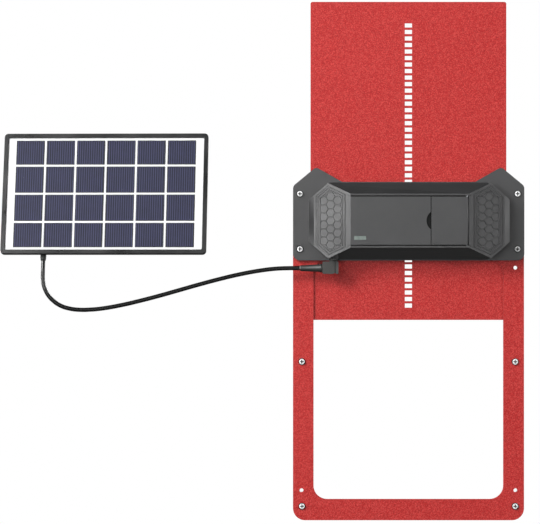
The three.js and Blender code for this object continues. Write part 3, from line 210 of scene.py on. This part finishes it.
def circuit_board():
    finish = Finish("board_green")
    upright = finish.add("ShaderNodeMapping", {"Vector": finish.place, "Rotation": (math.pi / 2, 0, 0)})
    weave = finish.add("ShaderNodeTexBrick", {
        "Vector": upright.outputs["Vector"],
        "Color1": linear(26, 92, 58), "Color2": linear(30, 102, 64), "Mortar": linear(60, 140, 96),
        "Scale": 160.0, "Mortar Size": 0.03}).outputs["Color"]
    mask = finish.noise(120, 2, 0.5)
    finish.set("Base Color", finish.mix(finish.remap(mask, 0, 0.6), weave, linear(20, 74, 46)))
    finish.set("Roughness", finish.remap(mask, 0.3, 0.45))
    finish.bump(finish.noise(900, 2, 0.5), 0.00003, 0.4)
    return finish.material


def battery_wrap():
    finish = Finish("battery_wrap", Coat_Weight=0.5, Coat_Roughness=0.15)
    wrinkle = finish.noise(60, 3, 0.6, finish.stretched((0.2, 1, 1)))
    finish.tint(wrinkle, linear(32, 92, 158), linear(44, 112, 182))
    finish.set("Roughness", finish.remap(wrinkle, 0.25, 0.4))
    finish.bump(wrinkle, 0.0001, 0.3)
    return finish.material


FINGER_SCALE = 121.0


def silicon():
    """Dark blue cells crossed by fine silver fingers."""
    finish = Finish("silicon_cells", Specular_IOR_Level=0.15)
    fingers = finish.add("ShaderNodeTexWave",
                         {"Vector": finish.place, "Scale": FINGER_SCALE, "Distortion": 0.0},
                         wave_type="BANDS", bands_direction="X").outputs["Fac"]
    crystal = finish.noise(110, 4, 0.7)
    base = finish.mix(finish.remap(crystal, 0, 1), linear(2, 2, 30), linear(8, 8, 48))
    finish.set("Base Color", finish.mix(finish.remap(fingers, 0, 0.9, 0.6, 1), base, linear(62, 64, 104)))
    finish.set("Roughness", finish.remap(crystal, 0.28, 0.42))
    finish.bump(fingers, 0.00004, 0.4)
    return finish.material


def backsheet():
    finish = Finish("white_backsheet")
    grain = finish.noise(900, 3, 0.6)
    finish.tint(grain, linear(240, 240, 241), linear(252, 252, 252))
    finish.set("Roughness", finish.remap(grain, 0.35, 0.5))
    finish.bump(grain, 0.00003, 0.4)
    return finish.material


def film():
    finish = Finish("panel_film", Alpha=0.02)
    haze = finish.noise(400, 2, 0.5)
    finish.tint(haze, linear(225, 230, 238), linear(245, 247, 250))
    finish.set("Roughness", finish.remap(haze, 0.08, 0.2))
    finish.bump(haze, 0.00002, 0.3)
    return finish.material


RED = powder_coat()
GREY = moulded("grey_housing", linear(52, 52, 53), linear(60, 60, 61), 0.34, specular=0.9)
DARK = moulded("dark_plastic", linear(40, 41, 42), linear(50, 51, 52), 0.5)
RIM_PLASTIC = moulded("panel_plastic", linear(10, 11, 12), linear(18, 19, 20), 0.3, specular=0.7)
PLUG_PLASTIC = moulded("plug_plastic", linear(50, 50, 48), linear(62, 62, 59), 0.36, specular=0.7)
RELIEF_RUBBER = moulded("relief_rubber", linear(33, 35, 33), linear(43, 45, 42), 0.48,
                        depth=0.00002, specular=0.8)
# painted shade: the dark grey for the housing's sunk grooves and gaps
GROOVE_PAINTED_SHADE = moulded("groove_painted_shade", linear(22, 22, 22), linear(30, 30, 30), 0.7, specular=0.2)
WHITE = moulded("white_plastic", linear(222, 222, 216), linear(238, 238, 233), 0.42, 1200, 0.00003)
RUBBER = rubber()
CABLE = cable_jacket()
ALUMINIUM = metal("bare_aluminium", linear(178, 180, 182), linear(205, 207, 209), 0.36, (1, 1, 12))
CHROME = metal("chrome_screw", linear(246, 246, 246), linear(252, 252, 252), 0.3, (8, 1, 8), 0.00001, 0.1)
# painted shade: the dark metal for the screws' crossed recesses and head sides
SCREW_PAINTED_SHADE = metal("screw_painted_shade", linear(12, 12, 13), linear(20, 20, 21), 0.6, (8, 1, 8), 0.00001)
STEEL = metal("steel", linear(150, 152, 155), linear(182, 184, 187), 0.32, (1, 10, 10))
BRASS = metal("brass", linear(176, 138, 62), linear(205, 168, 88), 0.3, (6, 6, 1))
LENS = lens_plastic()
BOARD = circuit_board()
WRAP = battery_wrap()
CELLS = silicon()
SHEET = backsheet()
FILM = film()

# Each CAD node's finish, and the width of the rounding on its edges in millimetres.
FINISHES = {
    (RED, 0.35): ["front_frame", "back_frame", "sliding_door"],
    (ALUMINIUM, 0.15): ["left_rail", "right_rail", "bottom_rail", "motor", "motor_bracket"],
    (CHROME, 0.12): ["frame_screw_1", "frame_screw_2", "frame_screw_3", "frame_screw_4", "housing_screw_1",
                     "housing_screw_2", "housing_screw_3", "housing_screw_4", "plug_barrel"],
    (STEEL, 0.1): ["flap_hinge_pin", "pinion_shaft", "motor_shaft", "gearbox"],
    (BRASS, 0.1): ["motor_gear", "left_bush", "right_bush", "bracket_insert", "light_sensor"],
    (GREY, 0.4): ["housing_cover", "control_flap"],
    (DARK, 0.3): ["housing_base", "close_switch", "mode_switch", "open_switch", "power_switch",
                  "control_chip", "battery_holder", "dc_socket", "junction_box"],
    (RIM_PLASTIC, 1.8): ["panel_rim"],
    (RIM_PLASTIC, 0.6): ["panel_tray"],
    (WHITE, 0.15): ["drive_pinion", "driven_gear", "power_slider"],
    (RUBBER, 0.15): ["housing_gasket", "flap_seal", "close_button", "mode_button", "open_button",
                     "lead_gland"],
    (LENS, 0.15): ["sensor_window", "status_led"],
    (BOARD, 0.1): ["control_board", "sensor_board"],
    (WRAP, 0.4): ["battery_cell"],
    (FILM, 0.05): ["panel_film"],
}


# ---------------------------------------------------------------- mesh helpers
SHARP_EDGE = 28.0            # degrees: from here an edge is a real one, and is rounded
SOFT_EDGE = 1.0              # degrees: below this two facets are one flat face
WELD_DISTANCE = 0.000002
SPOTS_PER_METRE = 500000     # facets are matched by corners on this grid
WIDE_ROUNDING = 1            # millimetres: from this width a rounding has more steps
WIDE_STEPS = 4


def shade(piece, least):
    """Shades curved surfaces smooth and leaves flat ones flat, by the angles between their facets."""
    data = piece.data
    spots = [tuple(round(value * SPOTS_PER_METRE) for value in vertex.co) for vertex in data.vertices]
    edges = {}
    for face in data.polygons:
        ring = [spots[index] for index in face.vertices]
        for pair in zip(ring, ring[1:] + ring[:1]):
            edges.setdefault(frozenset(pair), []).append(face)
    curved = set()
    for faces in edges.values():
        if len(faces) == 2:
            turn = math.degrees(faces[0].normal.angle(faces[1].normal, 0))
            if least < turn < SHARP_EDGE:
                curved.update(face.index for face in faces)
    for face in data.polygons:
        face.use_smooth = face.index in curved


def soften(piece, width, steps=2, least=SOFT_EDGE):
    """Welds the faceted mesh and rounds its edges, with modifiers. The width is in millimetres."""
    shade(piece, least)
    weld = piece.modifiers.new("weld", "WELD")
    weld.merge_threshold = WELD_DISTANCE
    bevel = piece.modifiers.new("bevel", "BEVEL")
    bevel.width = width * MM
    bevel.segments = steps if width < WIDE_ROUNDING else WIDE_STEPS
    bevel.limit_method = "ANGLE"
    bevel.angle_limit = math.radians(SHARP_EDGE)


def dress(piece, material):
    piece.data.materials.clear()
    piece.data.materials.append(material)


def piece_from(name, mesh, material, place=None):
    """A new piece on the fixed body, from a mesh that is used up."""
    data = bpy.data.meshes.new(name)
    mesh.to_mesh(data)
    mesh.free()
    piece = bpy.data.objects.new(name, data)
    bpy.context.scene.collection.objects.link(piece)
    if place is not None:
        piece.matrix_world = place
    dress(piece, material)
    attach(piece, "fixed_assembly")
    return piece


def prism(mesh, outline, low, high):
    """A closed slab on an outline of (x, z) points in millimetres, between two y levels."""
    rings = [[mesh.verts.new((x * MM, y * MM, z * MM)) for x, z in outline] for y in (low, high)]
    mesh.faces.new(rings[0])
    mesh.faces.new(list(reversed(rings[1])))
    for index in range(len(outline)):
        after = (index + 1) % len(outline)
        mesh.faces.new([rings[0][after], rings[0][index], rings[1][index], rings[1][after]])


def turned(mesh, profile, sides=40):
    """A turned body round the x axis from (place, radius) pairs in millimetres."""
    rings = []
    for along, radius in profile:
        ring = []
        for step in range(sides):
            angle = 2 * math.pi * step / sides
            across, up = radius * MM * math.cos(angle), radius * MM * math.sin(angle)
            ring.append(mesh.verts.new((along * MM, across, up)))
        rings.append(ring)
    for first, second in zip(rings, rings[1:]):
        for step in range(sides):
            after = (step + 1) % sides
            mesh.faces.new([first[step], first[after], second[after], second[step]])
    mesh.faces.new(list(reversed(rings[0])))
    mesh.faces.new(rings[-1])


def rounded_rectangle(x0, x1, z0, z1, radius, steps=5):
    """The outline of a rectangle with round corners, anticlockwise."""
    points = []
    corners = [(x1 - radius, z1 - radius, 0), (x0 + radius, z1 - radius, 90),
               (x0 + radius, z0 + radius, 180), (x1 - radius, z0 + radius, 270)]
    for x, z, start in corners:
        for step in range(steps + 1):
            angle = math.radians(start + 90 * step / steps)
            points.append((x + radius * math.cos(angle), z + radius * math.sin(angle)))
    return points


# ---------------------------------------------------------------- lead with its plug
LEAD_DIAMETER = 0.005
LEAD_EXIT = (-0.4239, -0.0543, 0.2906)
LEAD = [
    LEAD_EXIT, (-0.424, -0.0558, 0.2855), (-0.4241, -0.0572, 0.28), (-0.424, -0.0584, 0.27),
    (-0.4229, -0.059, 0.263), (-0.4208, -0.0592, 0.257), (-0.4176, -0.0591, 0.2512),
    (-0.412, -0.0587, 0.245), (-0.4035, -0.058, 0.2392), (-0.3925, -0.057, 0.2357),
    (-0.381, -0.0558, 0.2344), (-0.3698, -0.0546, 0.2346), (-0.358, -0.0534, 0.2356),
    (-0.335, -0.0504, 0.2395), (-0.312, -0.047, 0.2448), (-0.289, -0.0435, 0.2508),
    (-0.266, -0.0399, 0.2573), (-0.243, -0.0362, 0.2638), (-0.22, -0.0323, 0.2699),
    (-0.197, -0.0285, 0.2753), (-0.1735, -0.0253, 0.2796), (-0.155, -0.0232, 0.2818),
    (-0.139, -0.0221, 0.2824), (-0.1271, -0.022, 0.2824),
]

# The plug, in millimetres: lengths back from its far end, and the grips on its faces.
NECK_RISE = 2.4
NECK_SUNK = 0.8
NECK_X = -0.088              # metres: the axis of the socket
BLOCK_BACK = 4.4
WAIST_BACK, WAIST_FRONT = 5.2, 3.0
WAIST_LOWER, WAIST_NARROWER = 0.8, 0.9
FLANGE_BACK = 3.6
GRIPS = 5
GRIP_START, GRIP_PITCH, GRIP_WIDTH = 3.2, 2.1, 0.9
GRIP_MARGIN, GRIP_PROUD, GRIP_ROOT = 2.2, 0.25, 0.5


def make_lead():
    """The cable, from the gland under the panel to the sleeve at the plug."""
    curve = bpy.data.curves.new("lead_cable", "CURVE")
    curve.dimensions = "3D"
    curve.bevel_depth = LEAD_DIAMETER / 2
    curve.bevel_resolution = 6
    curve.resolution_u = 10
    curve.use_fill_caps = True
    spline = curve.splines.new("BEZIER")
    spline.bezier_points.add(len(LEAD) - 1)
    for knot, point in zip(spline.bezier_points, LEAD):
        knot.co = point
        knot.handle_left_type = knot.handle_right_type = "AUTO"
    lead = bpy.data.objects.new("lead_cable", curve)
    bpy.context.scene.collection.objects.link(lead)
    dress(lead, CABLE)
    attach(lead, "fixed_assembly")
    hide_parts("panel_lead")
    return lead


def make_relief():
    """Tapered sleeve with a collar at the plug, along the cable into the plug."""
    low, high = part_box("plug_strain_relief")
    start, end = low.x / MM, high.x / MM
    length = end - start
    profile = [(0, 2.6), (0, 3.0), (0.5, 3.3), (1.2, 3.4), (length - 3.0, 4.5), (length - 2.6, 4.9),
               (length - 0.5, 5), (length, 4.7)]
    mesh = bmesh.new()
    turned(mesh, profile)
    middle = (low + high) / 2
    relief = piece_from("plug_relief_sleeve", mesh, RELIEF_RUBBER,
                        place=Matrix.Translation((low.x, middle.y, middle.z)))
    relief.data.shade_smooth()
    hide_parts("plug_strain_relief")
    return relief


def make_plug():
    """Right-angle plug: a gripped block, an end flange and a round neck up to the socket."""
    low, high = (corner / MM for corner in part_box("plug_body"))
    top = high.z - NECK_RISE
    mesh = bmesh.new()
    prism(mesh, rounded_rectangle(low.x, high.x - BLOCK_BACK, low.z, top, 2.2), low.y, high.y)
    waist = rounded_rectangle(high.x - WAIST_BACK, high.x - WAIST_FRONT, low.z + WAIST_LOWER,
                              top - WAIST_LOWER, 1.5)
    prism(mesh, waist, low.y + WAIST_NARROWER, high.y - WAIST_NARROWER)
    prism(mesh, rounded_rectangle(high.x - FLANGE_BACK, high.x, low.z, top, 1.5), low.y, high.y)
    for step in range(GRIPS):
        x = low.x + GRIP_START + step * GRIP_PITCH
        grip = rounded_rectangle(x, x + GRIP_WIDTH, low.z + GRIP_MARGIN, top - GRIP_MARGIN, 0.4, 3)
        prism(mesh, grip, low.y - GRIP_PROUD, low.y + GRIP_ROOT)
        prism(mesh, grip, high.y - GRIP_ROOT, high.y + GRIP_PROUD)
    block = piece_from("plug_moulding", mesh, PLUG_PLASTIC)
    soften(block, 0.5, 3)
    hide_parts("plug_body")
    neck = bmesh.new()
    turned(neck, [(0, 5), (0.9, 5), (1.2, 4.6), (1.7, 4.6), (2.0, 5), (3.2, 5)])
    turn = Matrix.Rotation(-math.pi / 2, 4, "Y")
    place = Matrix.Translation((NECK_X, (low.y + high.y) / 2 * MM, (top - NECK_SUNK) * MM)) @ turn
    ring = piece_from("plug_neck", neck, PLUG_PLASTIC, place=place)
    ring.data.shade_smooth()
    soften(ring, 0.2)
    return block, ring


lead = make_lead()
relief = make_relief()
plug, plug_neck = make_plug()


# ---------------------------------------------------------------- CAD nodes
# Where the painted shade goes on a screw's head:
HEAD_RECESS = 0.6            # the recess lies within this share of the head's radius
RECESS_DEPTH = 0.45          # millimetres below the top of the head
HEAD_SIDE = 0.85             # the side begins at this share of the radius
SIDE_TURN = -0.7             # and its faces look less straight out than this
HOUSING_FOLD = 11            # degrees: folds of the housing below this stay flat
# Where the painted shade goes in the housing's grooves and gaps:
GROOVE_REACH = 68            # millimetres either side of the middle
GROOVE_HALF = 30.2           # millimetres above and below the pinion
GROOVE_SUNK = (0.3, 3)       # millimetres behind the front


def paint_screw_shade(name):
    """Paints shade into the crossed recess and onto the side of a screw's head, as a second, dark metal."""
    low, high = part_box(name)
    middle = (low + high) / 2
    radius = (high.x - low.x) / 2
    data = nodes[name].data
    data.materials.append(SCREW_PAINTED_SHADE)
    for face in data.polygons:
        out = math.hypot(face.center.x - middle.x, face.center.z - middle.z) / radius
        sunk = (face.center.y - low.y) / MM
        recess = out < HEAD_RECESS and sunk > RECESS_DEPTH
        side = out > HEAD_SIDE and face.normal.y > SIDE_TURN
        face.material_index = 1 if recess or side else 0


def paint_groove_shade(name):
    """Paints shade into the grooves and gaps sunk in the bar's flat front, with a second, dark grey."""
    low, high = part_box("drive_pinion")
    middle = (low.z + high.z) / 2 / MM
    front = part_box(name)[0].y / MM
    data = nodes[name].data
    data.materials.append(GROOVE_PAINTED_SHADE)
    for face in data.polygons:
        x, y, z = (value / MM for value in face.center)
        near = abs(x) < GROOVE_REACH and abs(z - middle) < GROOVE_HALF
        face.material_index = 1 if near and GROOVE_SUNK[0] < y - front < GROOVE_SUNK[1] else 0


for (material, width), names in FINISHES.items():
    for name in names:
        dress(nodes[name], material)
        # screws also get painted shade in the recess and on the side of the head
        if "_screw_" in name:
            paint_screw_shade(name)
        soften(nodes[name], width, least=HOUSING_FOLD if material is GREY else SOFT_EDGE)
# the housing's grooves and gaps get painted shade
paint_groove_shade("housing_cover")


# ---------------------------------------------------------------- solar panel face
# The panel's own frame is the middle of its front face. Sizes are in millimetres.
PANEL = (Matrix.Translation((-0.3533, -0.045, 0.3693)) @ Matrix.Rotation(math.radians(-3), 4, "Z")
         @ Matrix.Rotation(math.radians(-17), 4, "X"))
PANEL_WIDTH, PANEL_HEIGHT = 238, 146
RIM_WIDTH = 4.8
RIM_PLAY = 0.6
SHEET_DEPTHS = (2.05, 4.35)
COLUMNS = 6
CELL_WIDTH = 33.0
CELL_GAP = 2.3
CELL_EDGE = 0.8
ROWS = [29.6, 32.0, 32.0, 29.6]
# Each layer's name, finish, margin inside the cell, and front and back depths.
CELL_LAYERS = [
    ("cell_edges", RIM_PLASTIC, 0, 1.75, 2.0),
    ("silicon_cells", CELLS, CELL_EDGE, 1.6, 1.74),
]


def make_cells():
    """A white sheet, and on it the cells as dark blue plates with a black edge."""
    half_width = (PANEL_WIDTH - 2 * RIM_WIDTH - RIM_PLAY) / 2
    half_height = (PANEL_HEIGHT - 2 * RIM_WIDTH - RIM_PLAY) / 2
    mesh = bmesh.new()
    prism(mesh, rounded_rectangle(-half_width, half_width, -half_height, half_height, 1.2), *SHEET_DEPTHS)
    sheet = piece_from("panel_backsheet", mesh, SHEET, place=PANEL)
    soften(sheet, 0.1)
    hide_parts("panel_cells")

    total = sum(ROWS) + CELL_GAP * (len(ROWS) - 1)
    across = COLUMNS * CELL_WIDTH + (COLUMNS - 1) * CELL_GAP
    for name, material, margin, front, back in CELL_LAYERS:
        mesh = bmesh.new()
        top = total / 2
        for height in ROWS:
            for column in range(COLUMNS):
                left = -across / 2 + column * (CELL_WIDTH + CELL_GAP)
                cell = rounded_rectangle(left + margin, left + CELL_WIDTH - margin,
                                         top - height + margin, top - margin, 0.5, 2)
                prism(mesh, cell, front, back)
            top -= height + CELL_GAP
        soften(piece_from(name, mesh, material, place=PANEL), 0.05)


make_cells()


# ---------------------------------------------------------------- badge plates
FLATNESS = 0.00002           # metres: corners this close to the front plane are on it
PARALLEL = 1e-9
SHORTEST = 0.02              # the share of a ridge that is worth keeping
HIVE = 5.4                   # millimetres along the side of a honeycomb cell
HIVE_CELLS = 8               # cells either side of the middle, before they are clipped
FIELD_MARGIN = 3.4
PLATE_BACK = 1.1
RIDGE_WIDTH = 1.3
RIDGE_HEIGHT = 0.95
HIVE_HEIGHT = RIDGE_HEIGHT * 0.9
CREST = 0.55                 # the width of a ridge's top, as a share of its foot


def front_outline(node):
    """The badge's front face, as a frame on its plane and its corners there in millimetres."""
    data = nodes[node].data
    facing = max(data.polygons, key=lambda face: -face.normal.y)
    out = facing.normal.copy()
    level = max(data.vertices[index].co.dot(out) for index in facing.vertices)
    up = Vector((0, 0, 1))
    side = up.cross(-out).normalized()
    front = [v.co.copy() for v in data.vertices if abs(v.co.dot(out) - level) < FLATNESS]
    centre = sum(front, Vector()) / len(front)
    place = Matrix.Translation(centre) @ Matrix((side, -out, up)).transposed().to_4x4()
    back = place.inverted()
    flat = {(round((back @ v).x / MM, 3), round((back @ v).z / MM, 3)) for v in front}
    middle = (sum(x for x, _ in flat) / len(flat), sum(z for _, z in flat) / len(flat))
    ordered = sorted(flat, key=lambda p: math.atan2(p[1] - middle[1], p[0] - middle[0]))
    return place, ordered


def shrink(outline, distance):
    """A convex anticlockwise outline moved inwards."""
    moved = []
    for index, point in enumerate(outline):
        before = Vector(outline[index - 1])
        here = Vector(point)
        after = Vector(outline[(index + 1) % len(outline)])
        first = (here - before).normalized()
        second = (after - here).normalized()
        inward = (Vector((-first.y, first.x)) + Vector((-second.y, second.x))).normalized()
        moved.append(tuple(here + inward * distance / inward.dot(Vector((-first.y, first.x)))))
    return moved


def clipped(start, end, outline):
    """The part of a line inside a convex anticlockwise outline, or None."""
    start, end = Vector(start), Vector(end)
    run = end - start
    enter, leave = 0.0, 1.0
    for index, point in enumerate(outline):
        here = Vector(point)
        edge = Vector(outline[(index + 1) % len(outline)]) - here
        normal = Vector((-edge.y, edge.x)).normalized()
        speed = run.dot(normal)
        room = (start - here).dot(normal)
        if abs(speed) < PARALLEL:
            if room < 0:
                return None
        elif speed > 0:
            enter = max(enter, -room / speed)
        else:
            leave = min(leave, -room / speed)
    if leave - enter < SHORTEST:
        return None
    return start + run * enter, start + run * leave


def ridge(mesh, start, end, height):
    """A raised bar with sloped sides between two points on the sunk plate."""
    along = (end - start).normalized()
    across = Vector((-along.y, along.x))

    def level(share, y):
        ends, sides = along * RIDGE_WIDTH * share / 2, across * RIDGE_WIDTH * share / 2
        corners = [start - ends + sides, start - ends - sides, end + ends - sides, end + ends + sides]
        return [mesh.verts.new((c.x * MM, y * MM, c.y * MM)) for c in corners]

    low, high = level(1.0, RIDGE_HEIGHT), level(CREST, RIDGE_HEIGHT - height)
    mesh.faces.new(high)
    for index in range(4):
        after = (index + 1) % 4
        mesh.faces.new([low[index], low[after], high[after], high[index]])


def make_badge(node):
    """A plate with a raised border and a honeycomb of ridges."""
    place, outline = front_outline(node)
    mesh = bmesh.new()
    prism(mesh, list(reversed(outline)), RIDGE_HEIGHT, PLATE_BACK)
    rim = [Vector(p) for p in shrink(outline, RIDGE_WIDTH * 0.5)]
    for start, end in zip(rim, rim[1:] + rim[:1]):
        ridge(mesh, start, end, RIDGE_HEIGHT)
    field = shrink(outline, FIELD_MARGIN)
    rise = HIVE * math.sqrt(3)
    turns = [math.radians(60 * side) for side in range(4)]
    for row in range(-HIVE_CELLS, HIVE_CELLS + 1):
        for column in range(-HIVE_CELLS, HIVE_CELLS + 1):
            middle = Vector((column * 1.5 * HIVE, (row + (column % 2) / 2) * rise))
            corners = [middle + HIVE * Vector((math.cos(turn), math.sin(turn))) for turn in turns]
            for start, end in zip(corners, corners[1:]):
                kept = clipped(start, end, field)
                if kept:
                    ridge(mesh, *kept, HIVE_HEIGHT)
    inner = [Vector(p) for p in field]
    for start, end in zip(inner, inner[1:] + inner[:1]):
        ridge(mesh, start, end, HIVE_HEIGHT)
    bmesh.ops.recalc_face_normals(mesh, faces=mesh.faces)
    badge = piece_from(f"{node}_relief", mesh, GREY, place=place)
    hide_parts(node)


for node in ("left_badge", "right_badge"):
    make_badge(node)


# ---------------------------------------------------------------- light and floor
AIM = (-0.1, 0, 0.3)
# Each light's name, place, width, height and watts.
LIGHTS = [
    ("key", (-2.3, -2.3, 1.95), 1.4, 1.4, 126),
    ("right_key", (2.4, -2.3, 0.9), 0.6, 0.9, 19),
    ("back_key", (1.9, 2.5, 1.4), 1.4, 1.4, 110),
    ("back_fill", (-2.1, 2.3, 0.7), 1.2, 1.2, 50),
    ("left", (-1.55, -3.9, 0.5), 0.9, 1.0, 26),
    ("middle", (-0.35, -4.3, 0.8), 1.0, 0.9, 9),
    ("right", (1.5, -3.8, 0.7), 0.9, 1.0, 6),
    ("left_strip", (-3.1, -0.36, 0.4), 0.5, 1.4, 30),
    ("right_strip", (3.1, -0.12, 0.4), 0.5, 1.4, 8),
]
BACKDROP = 1.0
AMBIENT = 0.08
FLOOR_PLACE = (-0.16, 0.2, -0.3)
FLOOR_RADIUS = 2.2


def area_light(name, place, width, height, power):
    """A rectangular light that faces the middle of the object."""
    data = bpy.data.lights.new(name, "AREA")
    data.shape = "RECTANGLE"
    data.size = width
    data.size_y = height
    data.energy = power
    light = bpy.data.objects.new(name, data)
    light.location = place
    light.rotation_euler = (Vector(AIM) - Vector(place)).to_track_quat("-Z", "Y").to_euler()
    bpy.context.scene.collection.objects.link(light)


def make_world():
    """White behind the object, and only a faint light from all round on it."""
    world = bpy.data.worlds.new("studio")
    world.use_nodes = True
    tree = world.node_tree
    tree.nodes.clear()
    output = tree.nodes.new("ShaderNodeOutputWorld")
    mix = tree.nodes.new("ShaderNodeMixShader")
    path = tree.nodes.new("ShaderNodeLightPath")
    tree.links.new(path.outputs["Is Camera Ray"], mix.inputs[0])
    for socket, strength in ((mix.inputs[1], AMBIENT), (mix.inputs[2], BACKDROP)):
        background = tree.nodes.new("ShaderNodeBackground")
        background.inputs["Color"].default_value = (1, 1, 1, 1)
        background.inputs["Strength"].default_value = strength
        tree.links.new(background.outputs[0], socket)
    tree.links.new(mix.outputs[0], output.inputs["Surface"])
    bpy.context.scene.world = world


def make_floor():
    """A round pale floor well below the door, which hangs on a wall."""
    mesh = bmesh.new()
    bmesh.ops.create_circle(mesh, cap_ends=True, segments=96, radius=FLOOR_RADIUS)
    data = bpy.data.meshes.new("floor")
    mesh.to_mesh(data)
    mesh.free()
    floor = bpy.data.objects.new("floor", data)
    floor.location = FLOOR_PLACE
    finish = Finish("floor_paint", Emission_Color=(1, 1, 1, 1), Emission_Strength=0.45)
    cloud = finish.noise(3, 3, 0.5)
    finish.tint(cloud, linear(226, 226, 226), linear(234, 234, 234))
    finish.set("Roughness", finish.remap(cloud, 0.7, 0.8))
    finish.bump(finish.noise(300, 2, 0.5), 0.0001, 0.3)
    dress(floor, finish.material)
    bpy.context.scene.collection.objects.link(floor)
    floor.visible_diffuse = False
    floor.visible_glossy = False


make_world()
make_floor()
for row in LIGHTS:
    area_light(*row)
# The red sheets and the floor show and cast shadows, but don't tint what is beside them.
for name in ("sliding_door", "front_frame"):
    nodes[name].visible_diffuse = False
    nodes[name].visible_glossy = False
bpy.context.scene.view_settings.view_transform = "Standard"
